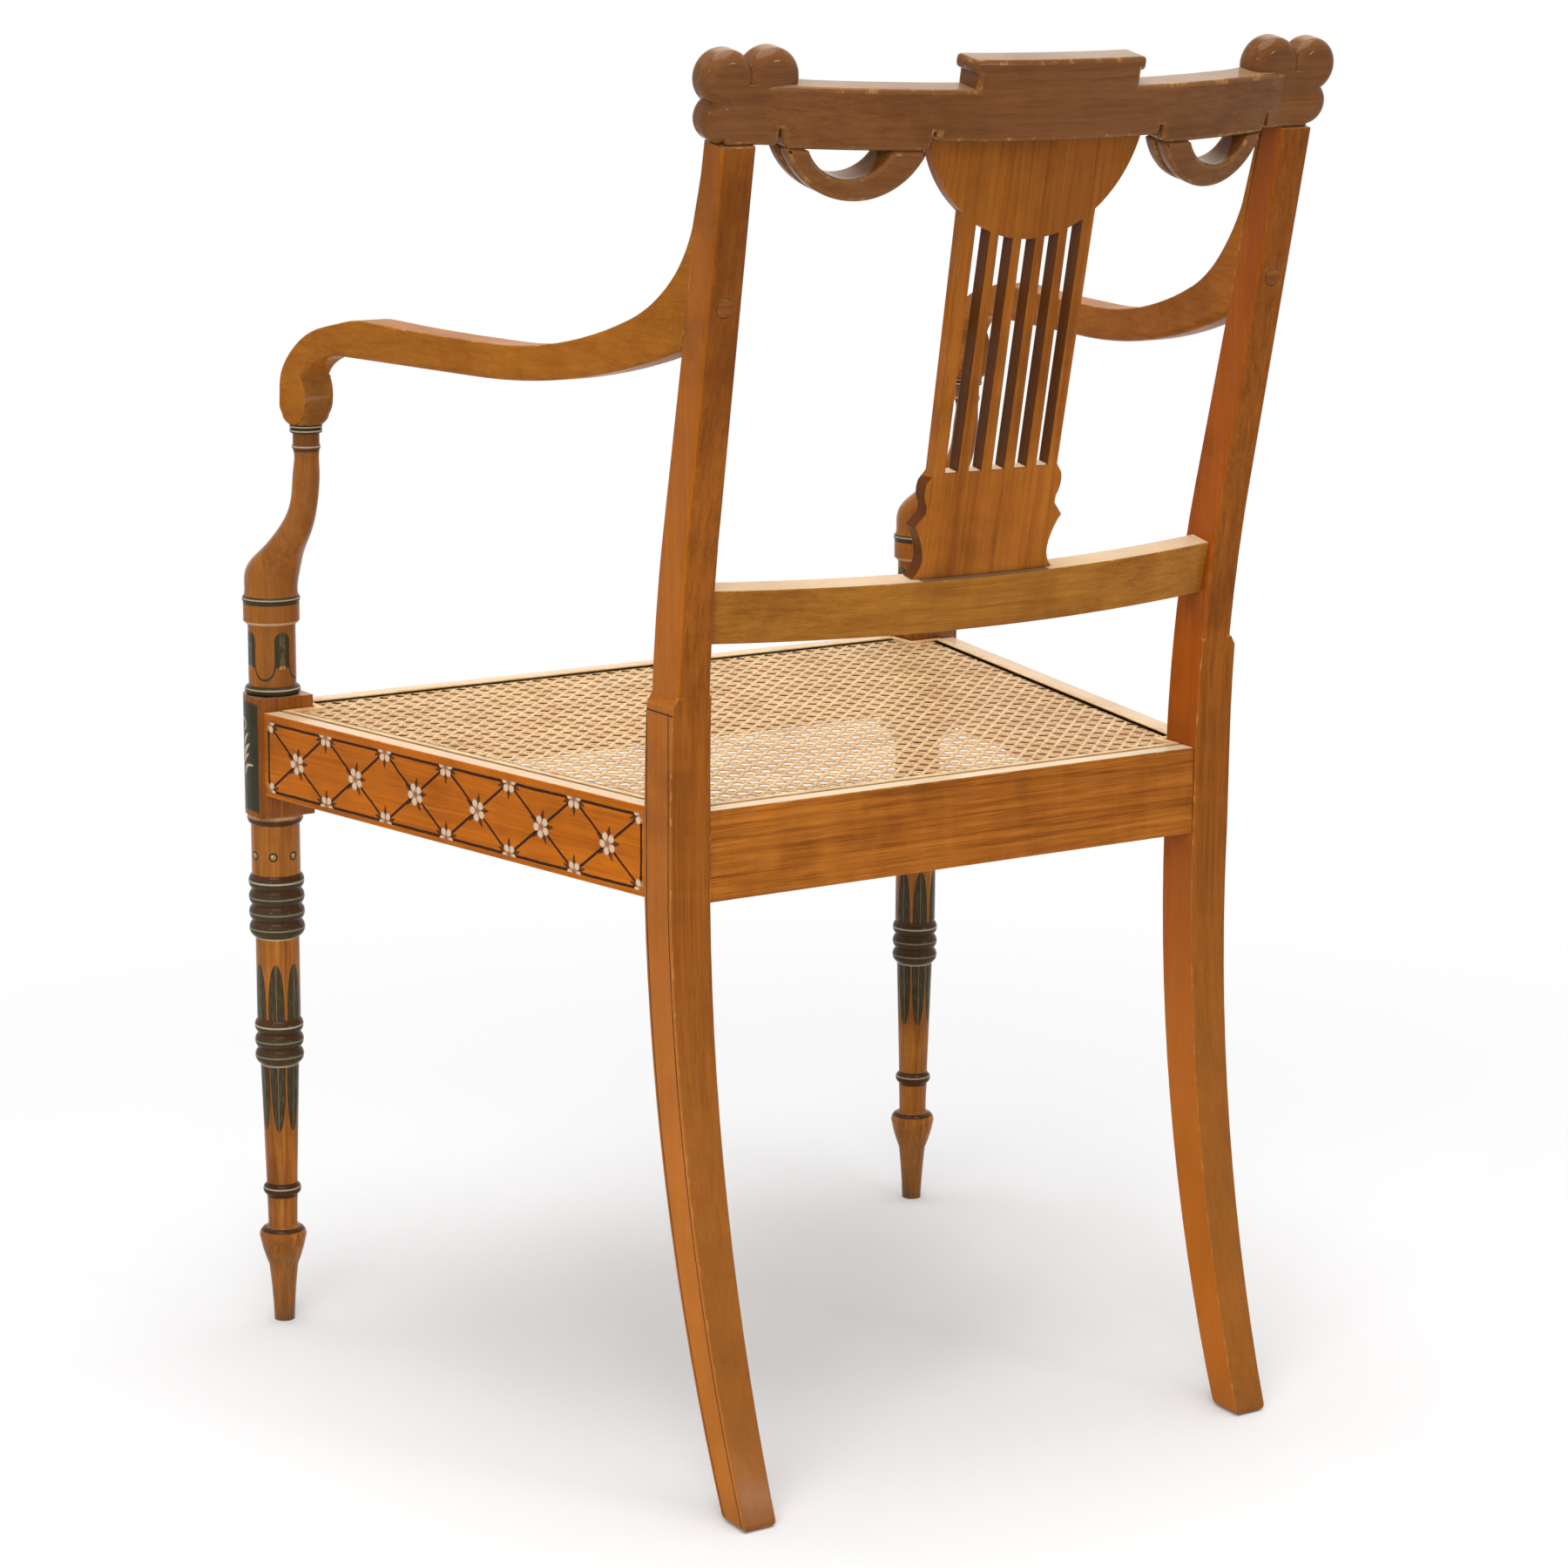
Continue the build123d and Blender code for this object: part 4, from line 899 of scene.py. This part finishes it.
@dataclass(frozen=True)
class Satinwood:
    """Polished satinwood, gone to a warm brown."""
    name: str
    grain: Grain
    dark: Colour = tint(94, 42, 6)
    light: Colour = tint(198, 120, 40)
    along: Optional[Point] = None
    sheen: float = 0.3
    top_highlight_share: float = 0.35
    figure: float = 1.0
    side_light_and_shade: float = 0.0
    worn: float = 1.0
    gloss: float = 0.95
    polish: float = 1.17
    rear_shade: float = 0.0

    def material(self, decor: Optional[Decor] = None) -> bpy.types.Material:
        """Build the wood, with any painted work over it.

        Args:
            decor: Painted work.

        Returns:
            The material.
        """
        bench = Bench.named(self.name)
        x, y, z = bench.place()
        along_way, across_way, through_way = self.grain.value
        if self.along is not None:
            along_way = self.along
            through_way = (-self.along[1], self.along[0], 0.0)

        def run(way: Point, scale: float) -> Wire:
            """Distance along one way of the board, scaled."""
            return x * (way[0] * scale) + y * (way[1] * scale) + z * (way[2] * scale)

        def streak(along: float, across: float, detail: float, bend: float) -> Wire:
            """Noise drawn out along the grain."""
            where = bench.vector(run(along_way, along), run(across_way, across),
                                 run(through_way, across))
            return bench.noise(where, detail, 0.55, bend)

        broad = streak(0.0035, 0.055, 3.0, 0.8)
        bands = streak(0.006, 0.33, 2.0, 0.3)
        fine = streak(0.03, 1.4, 3.0, 0.2)
        ribbon = streak(0.045, 0.012, 2.0, 0.4)
        pores = streak(0.09, 2.6, 2.0, 0.0).fade(0.6, 0.72)
        grime = bench.cloud((x, y, z), 0.016, 4.0, 0.6)
        tone = broad * 0.36 + bands * 0.46 + fine * 0.42 + ribbon * 0.18
        tone = (tone.fade(0.42, 1.0) - 0.45) * self.figure + 0.45
        colour = bench.mix(tone, self.dark, self.light)
        # Painted light and shade: side faces turned outward are lit a brighter orange, those turned
        # inward are painted darker.
        if self.side_light_and_shade:
            outward = bench.facing((1, 0, 0)) * x
            colour = bench.mix(outward.fade(80.0, 170.0) * self.side_light_and_shade, colour, AGE.outer_side_light)
            colour = bench.mix(outward.fade(-80.0, -170.0) * self.side_light_and_shade, colour, AGE.inner_side_shade)
        colour = bench.mix(pores * 0.35, colour, AGE.pore)
        colour = bench.mix(grime.fade(0.46, 0.74) * 0.42, colour, AGE.grime)
        # Painted shade: faces turned to the rear are darker and greyer, mottled by the cloud.
        if self.rear_shade:
            rear_shade_mask = bench.facing((0, 1, 0)).fade(0.3, 0.95) * (grime * 0.8 + 0.5)
            colour = bench.mix(rear_shade_mask * self.rear_shade, colour, AGE.rear_shade)
        # Painted highlight: faces turned up are paler, less so in the grimier patches.
        top_highlight_mask = bench.facing((0, 0, 1)).fade(0.8, 0.97) * (self.top_highlight_share * 1.2 - grime * 0.3)
        colour = bench.mix(top_highlight_mask, colour, AGE.top_highlight)
        # Darker towards the top, from 560 mm up to 860 mm.
        colour = bench.mix(z.fade(560.0, 860.0) * 0.32, colour, AGE.high_darkening)
        feet = z.fade(34.0, 0.0) * (grime * 0.7 + 0.15)
        colour = bench.mix(feet, colour, AGE.scuffed)
        chips = bench.cloud((x, y, z), 0.11, 4.0, 0.65).fade(0.52, 0.66) * 0.42 + 0.06
        colour = bench.mix(bench.painted_on("rubbed") * chips * self.worn, colour, AGE.bared)
        if decor is not None:
            colour = decor.over(bench, colour)
        rough = grime * 0.22 + fine * 0.1 + (self.sheen - 0.16)
        relief = bench.node("ShaderNodeBump", {}, {
            "Strength": 0.12, "Distance": 0.4 * MM, "Height": fine + bands * 0.6})
        shader = bench.node("ShaderNodeBsdfPrincipled", {}, {
            "Base Color": colour, "Roughness": rough, "Specular IOR Level": 0.0,
            "Coat Weight": self.gloss - grime * 0.4, "Coat IOR": self.polish,
            "Coat Roughness": 0.12, "Normal": Wire(bench, relief.outputs[0])})
        return bench.surface(shader)


@dataclass(frozen=True)
class CaneFinish:
    """Split cane, honey pale."""
    name: str = "cane"
    light: Colour = tint(235, 198, 142)
    dark: Colour = tint(190, 142, 86)

    def material(self) -> bpy.types.Material:
        """Build the cane's material.

        Returns:
            The material.
        """
        bench = Bench.named(self.name)
        x, y, z = bench.place()
        patch = bench.cloud((x, y, z), 0.03, 3.0)
        fibre = bench.cloud((x, y, z), 0.7, 3.0, 0.6)
        strand = bench.noise(bench.vector(x * 0.16, y * 0.16, z * 3.0), 1.0)
        tone = patch * 0.4 + fibre * 0.35 + strand * 0.35
        colour = bench.mix(tone.fade(0.34, 0.74), self.dark, self.light)
        # Painted shade: the cane is darkened low down and on the strands' sides, where the weave
        # shades itself.
        low_strand_shade = z.fade(SEAT_LEVEL - 1.05, SEAT_LEVEL - 1.35)
        strand_side_shade = bench.facing((0, 0, 1)).fade(0.8, 0.5) * z.fade(SEAT_LEVEL - 0.5, SEAT_LEVEL - 0.63)
        colour = bench.mix(low_strand_shade * 0.5 | strand_side_shade * 0.75, colour, AGE.cane_depth_shade)
        shader = bench.node("ShaderNodeBsdfPrincipled", {}, {
            "Base Color": colour, "Roughness": fibre * 0.3 + 0.32})
        return bench.surface(shader)


@dataclass(frozen=True)
class SteelFinish:
    """Plain bright steel of a wood screw."""
    name: str = "screw_steel"

    def material(self) -> bpy.types.Material:
        """Build the steel's material.

        Returns:
            The material.
        """
        bench = Bench.named(self.name)
        x, y, z = bench.place()
        brushed = bench.noise(bench.vector(x * 2.0, y * 0.4, z * 2.0), 3.0)
        colour = bench.mix(brushed, tint(120, 116, 110), tint(172, 168, 160))
        shader = bench.node("ShaderNodeBsdfPrincipled", {}, {
            "Base Color": colour, "Roughness": brushed * 0.2 + 0.25, "Metallic": 1.0})
        return bench.surface(shader)


class Joiner:
    """Takes pieces from the solid model and eases them."""
    weld = 2e-6
    flat = math.radians(0.4)
    corner = math.radians(30)
    crease = math.radians(38)

    @staticmethod
    def rubbed(shape: bmesh.types.BMesh, edges: List[bmesh.types.BMEdge], width: float,
               steps: int) -> List[bmesh.types.BMFace]:
        """Round some edges over.

        Args:
            shape: The piece.
            edges: The edges.
            width: Width of the rounding in millimetres.
            steps: Facets across it.

        Returns:
            The new faces.
        """
        return bmesh.ops.bevel(shape, geom=edges, offset=width * MM, offset_type="OFFSET",
                               segments=steps, profile=0.5, affect="EDGES",
                               clamp_overlap=False)["faces"]

    @classmethod
    def eased(cls, node: str, ease: float, foot: float) -> bpy.types.Object:
        """Copy one piece with its sharp edges rubbed down.

        Args:
            node: Name of the solid piece.
            ease: Width of the rubbed edge in millimetres, nought for none.
            foot: Width of the worn edge on the floor, nought for none.

        Returns:
            The new piece.
        """
        shape = bmesh.new()
        shape.from_mesh(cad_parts[node].data)
        bmesh.ops.remove_doubles(shape, verts=shape.verts, dist=cls.weld)
        if ease:
            bmesh.ops.dissolve_limit(shape, angle_limit=cls.flat, verts=shape.verts,
                                     edges=shape.edges)
            if foot:
                ground = [edge for edge in shape.edges
                          if all(end.co.z < 0.2 * MM for end in edge.verts)]
                cls.rubbed(shape, ground, foot, 4)
            sharp = [edge for edge in shape.edges if len(edge.link_faces) == 2
                     and edge.is_convex and edge.calc_face_angle() > cls.corner]
            mark = shape.faces.layers.float.new("rubbed")
            for face in cls.rubbed(shape, sharp, ease, 3):
                face[mark] = 1.0
        for face in shape.faces:
            face.smooth = True
        mesh = bpy.data.meshes.new(node + "_eased")
        shape.to_mesh(mesh)
        shape.free()
        mesh.set_sharp_from_angle(angle=cls.crease)
        piece = stood(node + "_wood", mesh)
        piece.modifiers.new("level", "WEIGHTED_NORMAL").keep_sharp = True
        return piece

    @staticmethod
    def finished(piece: bpy.types.Object, node: str, material: bpy.types.Material,
                 slot: str) -> None:
        """Finish a piece and stand it in for the solid.

        Args:
            piece: The piece.
            node: Name of the solid piece.
            material: Its finish.
            slot: Material slot the piece belongs to; not used.
        """
        piece.data.materials.append(material)
        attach(piece, "root")
        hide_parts(node)
        log.info("%s: %d faces", piece.name, len(piece.data.polygons))

    @classmethod
    def fitted(cls, node: str, material: bpy.types.Material, ease: float = 0.9,
               slot: str = "satinwood", foot: float = 0.0) -> None:
        """Ease one solid piece and finish it.

        Args:
            node: Name of the solid piece.
            material: Its finish.
            ease: Width of the rubbed edge in millimetres.
            slot: Name of a material slot, handed on to finished, which does not use it.
            foot: Width of the worn edge on the floor.
        """
        cls.finished(cls.eased(node, ease, foot), node, material, slot)


@dataclass
class SeatFrame:
    """The four seat rails."""
    rear: float = 148.2
    front_cells: int = 8

    def side_trellis(self) -> Trellis:
        """The painted field of the side rails.

        Returns:
            The trellis, mirrored for the right side.
        """
        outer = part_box("side_seat_rail_left")[1][0] / MM
        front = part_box("front_leg_left")[1][1] / MM
        lean, run = math.sin(SEAT_SPLAY), math.cos(SEAT_SPLAY)
        return Trellis(start=(outer, front, 0.0), way=(-lean, run, 0.0), outward=(run, lean, 0.0),
                       length=(self.rear - front) / run, low=RAIL_FOOT, high=SEAT_LEVEL,
                       mirrored=True)

    def front_trellis(self) -> Trellis:
        """The painted field of the front rail."""
        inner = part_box("front_leg_left")[0][0] / MM
        return Trellis(start=(-inner, 0.0, 0.0), way=(1.0, 0.0, 0.0), outward=(0.0, -1.0, 0.0),
                       length=2 * inner, low=RAIL_FOOT, high=SEAT_LEVEL, mirrored=False,
                       cells=self.front_cells)

    def build(self) -> None:
        """Ease and finish the rails."""
        for side in Side:
            way = (-math.sin(SEAT_SPLAY) * side.value, math.cos(SEAT_SPLAY), 0.0)
            wood = Satinwood("satinwood_side_rail_" + side.word, Grain.FORWARD, tint(118, 50, 4),
                             tint(204, 110, 18), along=way, top_highlight_share=0.7, side_light_and_shade=0.3)
            Joiner.fitted("side_seat_rail_" + side.word, wood.material(self.side_trellis()))
        front = Satinwood("satinwood_front_rail", Grain.SIDEWAYS, top_highlight_share=0.7)
        Joiner.fitted("front_seat_rail", front.material(self.front_trellis()))
        rear = Satinwood("satinwood_rear_rail", Grain.SIDEWAYS, top_highlight_share=0.8, figure=0.85)
        Joiner.fitted("rear_seat_rail", rear.material())


@dataclass
class Legs:
    """The two turned front legs and the two sabre rear legs."""
    rear_width: float = 31.2
    sweep_front: float = 75.7
    ledge: float = 501.0
    worn_foot: float = 4.6

    def build(self) -> None:
        """Ease and finish the legs."""
        axis = front_leg_axis()
        front = Satinwood("satinwood_front_leg", Grain.UPRIGHT, tint(112, 58, 14),
                          tint(190, 120, 44), polish=1.26).material(LegPaint(axis))
        rear_front = SEAT_DEPTH + axis[1]
        rear_back = rear_front + self.rear_width
        lines = Stringing(seat_back=rear_back, seat_front=rear_front, bend_low=RAIL_FOOT,
                          sweep_back=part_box("rear_leg_left")[1][1] / MM - rear_back,
                          sweep_front=self.sweep_front, ledge=self.ledge)
        rear = Satinwood("satinwood_rear_leg", Grain.UPRIGHT, tint(96, 46, 10),
                         tint(168, 98, 30), figure=0.7, side_light_and_shade=0.4).material(lines)
        for side in Side:
            Joiner.fitted("front_leg_" + side.word, front, 0.0)
            Joiner.fitted("rear_leg_" + side.word, rear, 0.8, foot=self.worn_foot)


@dataclass
class Arms:
    """The turned supports and the scrolled arms above them."""

    def build(self) -> None:
        """Ease and finish the supports and arms."""
        support = Satinwood("satinwood_support", Grain.UPRIGHT, tint(110, 56, 12),
                            tint(192, 120, 42), figure=0.6, polish=1.24, rear_shade=0.45)
        support = support.material(SupportPaint(front_leg_axis()))
        arm = Satinwood("satinwood_arm", Grain.FORWARD, tint(112, 60, 14), tint(194, 124, 44),
                        top_highlight_share=0.05, figure=0.55, side_light_and_shade=0.12, gloss=0.6, rear_shade=0.55).material()
        for side in Side:
            Joiner.fitted("arm_support_" + side.word, support, 0.0)
            Joiner.fitted("arm_" + side.word, arm, 0.9)


@dataclass
class Back:
    """The crest, its swags, the splat and the lower rail."""
    # Painted shade with a greyish painted reflection: the crest and swags take darker, greyer
    # browns than the other wood.
    crest_shaded_dark: Colour = tint(84, 46, 16)
    crest_shaded_light: Colour = tint(138, 90, 44)
    foot_rise: float = 73.0

    def build(self) -> None:
        """Ease and finish the pieces of the back."""
        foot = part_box("back_splat")[0][2] / MM + self.foot_rise
        crest = Satinwood("satinwood_crest", Grain.SIDEWAYS, self.crest_shaded_dark, self.crest_shaded_light,
                          figure=0.8, worn=0.7, gloss=1.0, polish=1.27).material()
        splat = Satinwood("satinwood_splat", Grain.RAKED, top_highlight_share=0.9, figure=0.5,
                          worn=0.3).material(SlotShade(foot))
        rail = Satinwood("satinwood_lower_rail", Grain.SIDEWAYS, tint(108, 60, 14),
                         tint(186, 124, 46), top_highlight_share=0.6, figure=0.6).material(JointShade())
        Joiner.fitted("crest_rail", crest, 2.8)
        for side in Side:
            Joiner.fitted("crest_swag_" + side.word, crest, 2.4)
        Joiner.fitted("back_splat", splat, 0.7)
        Joiner.fitted("lower_back_rail", rail, 0.8)


@dataclass
class Fastenings:
    """The hidden screws of the arms and the pellets over them."""

    def build(self) -> None:
        """Finish the screws and pellets."""
        Joiner.fitted("arm_screws", SteelFinish().material(), 0.0, "screw_steel")
        pellet = Satinwood("satinwood_pellet", Grain.SIDEWAYS, tint(96, 52, 20),
                           tint(168, 104, 50))
        Joiner.fitted("arm_screw_pellets", pellet.material(), 0.0)


@dataclass
class CaneSeat:
    """The woven seat and the binder round its edge."""
    pitch: float = 12.0
    pair: float = 3.0
    width: float = 2.4
    thick: float = 0.5
    sway: float = 0.2
    span: int = 52
    edge_at_leg: float = 266.5
    edge_at_rear: float = 183.4
    rear_notch: float = 21.0
    clear: float = 1.0
    verts: List[Point] = field(default_factory=list)
    faces: List[Tuple[int, ...]] = field(default_factory=list)

    def __post_init__(self) -> None:
        """Take the seat's outline from the solid model."""
        self.low, self.high = ([value / MM for value in corner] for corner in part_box("cane_seat"))
        self.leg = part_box("front_leg_left")[1][1] / MM
        self.leg_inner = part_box("front_leg_left")[0][0] / MM
        self.slope = math.tan(SEAT_SPLAY)
        self.level = (self.low[2] + self.high[2]) / 2

    def reach(self, y: float) -> float:
        """Half width of the cane at a depth.

        Args:
            y: Depth.

        Returns:
            Half width, clear of the legs.
        """
        edge = self.edge_at_leg - (y - self.leg) * self.slope
        if y < self.leg + self.clear:
            edge = min(edge, self.leg_inner - self.clear)
        if y > self.leg + SEAT_DEPTH - self.rear_notch:
            edge = min(edge, self.edge_at_rear)
        return edge

    def inside(self, x: float, y: float) -> bool:
        """Whether a point lies on the cane."""
        return (self.low[1] + self.clear < y < self.high[1] - self.clear
                and abs(x) < self.reach(y))

    def strand(self, start: Tuple[float, float], lie: Lie, phase: int) -> None:
        """Lay one strand across the seat.

        Args:
            start: A point on the strand's line.
            lie: Direction of the strand.
            phase: 0 or 1, whether it first goes over or under.
        """
        way = Vector(lie.value).normalized()
        square = lie in (Lie.FRONT_TO_BACK, Lie.SIDE_TO_SIDE)
        step = self.pitch / 2 * (1.0 if square else math.sqrt(2) / 2)
        spots = []
        for count in range(-110, 111):
            x, y = start[0] + way.x * step * count, start[1] + way.y * step * count
            if self.inside(x, y):
                spots.append((count, x, y))
        if len(spots) < 3:
            return
        for sign, (count, x, y) in ((-1, spots[0]), (1, spots[-1])):
            for part in range(11, 0, -1):
                on = sign * part / 12
                tip = (count + on, x + way.x * step * on, y + way.y * step * on)
                if self.inside(tip[1], tip[2]):
                    spots.insert(0 if sign < 0 else len(spots), tip)
                    break
        base = len(self.verts)
        half, top = self.width / 2, self.thick / 2
        for count, x, y in spots:
            rise = self.level + self.sway * math.cos(math.pi * (count * 0.5 + phase))
            for aside, lift in ((-half, -top), (-half * 0.7, top), (half * 0.7, top), (half, -top)):
                self.verts.append(((x - way.y * aside) * MM, (y + way.x * aside) * MM,
                                   (rise + lift) * MM))
        for ring in range(len(spots) - 1):
            at = base + 4 * ring
            for side in range(4):
                follow = (side + 1) % 4
                self.faces.append((at + side, at + follow, at + 4 + follow, at + 4 + side))
        last = base + 4 * (len(spots) - 1)
        self.faces.append((base + 3, base + 2, base + 1, base))
        self.faces.append((last, last + 1, last + 2, last + 3))

    def band(self) -> None:
        """Gather the strand ends in a flat band under the binder."""
        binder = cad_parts["cane_binder"].data
        base = len(self.verts)
        for corner in binder.vertices:
            under = corner.co.z / MM < self.high[2] + 0.5
            height = self.low[2] + 0.2 if under else self.high[2] - 0.02
            self.verts.append((corner.co.x, corner.co.y, height * MM))
        for polygon in binder.polygons:
            self.faces.append(tuple(base + spot for spot in polygon.vertices))

    def weave(self) -> bpy.types.Object:
        """Weave the whole seat.

        Returns:
            The woven piece.
        """
        middle = (self.low[1] + self.high[1]) / 2
        for count in range(-self.span, self.span + 1):
            for half in (-1, 1):
                offset = count * self.pitch + half * self.pair / 2
                turn = (count + (half > 0)) % 2
                self.strand((offset, middle), Lie.FRONT_TO_BACK, turn)
                self.strand((0.0, middle + offset), Lie.SIDE_TO_SIDE, 1 - turn)
            self.strand(((count + 0.5) * self.pitch, middle), Lie.RISING, count % 2)
            self.strand(((count + 0.5) * self.pitch, middle), Lie.FALLING, (count + 1) % 2)
        self.band()
        mesh = bpy.data.meshes.new("cane_weave")
        mesh.from_pydata(self.verts, [], self.faces)
        for polygon in mesh.polygons:
            polygon.use_smooth = True
        mesh.set_sharp_from_angle(angle=math.radians(50))
        return stood("cane_weave", mesh)

    def build(self) -> None:
        """Weave the seat and finish it."""
        finish = CaneFinish().material()
        Joiner.finished(self.weave(), "cane_seat", finish, "cane")
        Joiner.fitted("cane_binder", finish, 0.0, "cane")


@dataclass
class Studio:
    """The white room the chair stands in, its lamps and its camera."""
    eye: Point = (1.4978, 2.29956, 0.9910)
    right: Point = (-0.84149, 0.54023, 0.00648)
    up: Point = (-0.10873, -0.1811, 0.97744)
    forward: Point = (-0.52921, -0.8218, -0.21113)
    lens: float = 97.47
    sensor: float = 36.0
    floor_half: float = 14.0
    glow_span: Tuple[float, float] = (220.0, 1400.0)
    white: Colour = (1.0, 1.0, 1.0, 1.0)

    def looked_at(self, bench: Bench, path: bpy.types.Node) -> Wire:
        """Whether the background is seen, straight or in a polish or a glass.

        Args:
            bench: Bench of the floor or the room.
            path: Its light path node.

        Returns:
            1 where it is seen, nought where it only lights.
        """
        camera, polish, glass = (Wire(bench, path.outputs["Is %s Ray" % kind])
                                 for kind in ("Camera", "Glossy", "Transmission"))
        return camera | polish | glass

    def floor(self) -> None:
        """Lay the pale floor."""
        bench = Bench.named("pale_floor")
        path = bench.node("ShaderNodeLightPath")
        diffuse = bench.node("ShaderNodeBsdfDiffuse", {}, {"Color": (0.8, 0.8, 0.8, 1.0)})
        glow = bench.node("ShaderNodeEmission", {}, {"Color": self.white, "Strength": 1.0})
        x, y, _ = bench.place()
        away = x.reach(y).fade(*self.glow_span) * 0.94 + 0.06
        material = bench.surface(bench.blend(self.looked_at(bench, path) * away, diffuse, glow))
        mesh = bpy.data.meshes.new("floor")
        half = self.floor_half
        corners = [(-half, -half, 0), (half, -half, 0), (half, half, 0), (-half, half, 0)]
        mesh.from_pydata(corners, [], [(0, 1, 2, 3)])
        piece = stood("floor", mesh)
        mesh.materials.append(material)

    def room(self) -> None:
        """Fill the room with soft white light."""
        world = bpy.data.worlds.new("white_room")
        bpy.context.scene.world = world
        bench = Bench(world)
        path = bench.node("ShaderNodeLightPath")
        seen, bright, dim = (
            bench.node("ShaderNodeBackground", {}, {"Color": self.white, "Strength": strength})
            for strength in (1.0, 1.0, 0.1))
        way = Wire(bench, bench.node("ShaderNodeTexCoord").outputs["Generated"])
        ahead = bench.node("ShaderNodeVectorMath", {"operation": "DOT_PRODUCT"},
                           {0: way, 1: self.forward})
        backdrop = Wire(bench, ahead.outputs["Value"]).fade(-0.35, 0.45)
        light = bench.blend(backdrop, dim, bright)
        whole = bench.blend(self.looked_at(bench, path), light, seen)
        bench.surface(whole, "ShaderNodeOutputWorld")

    def lamp(self, name: str, place: Point, aim: Point, size: float, power: float,
             mirrored: bool) -> None:
        """Hang one soft lamp.

        Args:
            name: Name of the lamp.
            place: Where it hangs.
            aim: Where it points.
            size: Width of its face in metres.
            power: Power in watts.
            mirrored: Whether the polish shows it.
        """
        light = bpy.data.lights.new(name, "AREA")
        light.shape = "SQUARE"
        light.size = size
        light.energy = power
        lamp = stood(name, light)
        lamp.location = place
        lamp.visible_glossy = mirrored
        lamp.rotation_euler = (Vector(aim) - Vector(place)).to_track_quat("-Z", "Y").to_euler()

    def camera(self) -> None:
        """Stand the camera where the photograph was taken."""
        data = bpy.data.cameras.new("camera")
        data.lens = self.lens
        data.sensor_width = self.sensor
        camera = stood("camera", data)
        columns = (self.right, self.up, -Vector(self.forward), self.eye)
        camera.matrix_world = Matrix([*zip(*columns), (0, 0, 0, 1)])
        bpy.context.scene.camera = camera

    def build(self) -> None:
        """Set up the room, its lamps and the camera."""
        self.floor()
        self.room()
        self.lamp("overhead", (0.2, 0.3, 3.0), (0.0, 0.0, 0.3), 2.4, 80.0, True)
        self.lamp("window", (-1.3, 2.9, 0.9), (0.0, 0.0, 0.5), 0.36, 10.0, True)
        self.lamp("glint", (2.6, 1.5, 1.7), (0.0, 0.0, 0.6), 0.32, 7.0, True)
        self.lamp("key", (2.2, 2.8, 2.0), (0.0, 0.0, 0.4), 2.0, 68.0, False)
        self.camera()
        bpy.context.scene.view_settings.view_transform = "Standard"


def main() -> None:
    """Build the chair piece by piece and set it in the room."""
    logging.basicConfig(level=logging.INFO, format="%(message)s")
    for group in (SeatFrame(), Legs(), Arms(), Back(), Fastenings(), CaneSeat()):
        log.info("building %s", type(group).__name__)
        group.build()
    Studio().build()


if __name__ == "__main__":
    main()
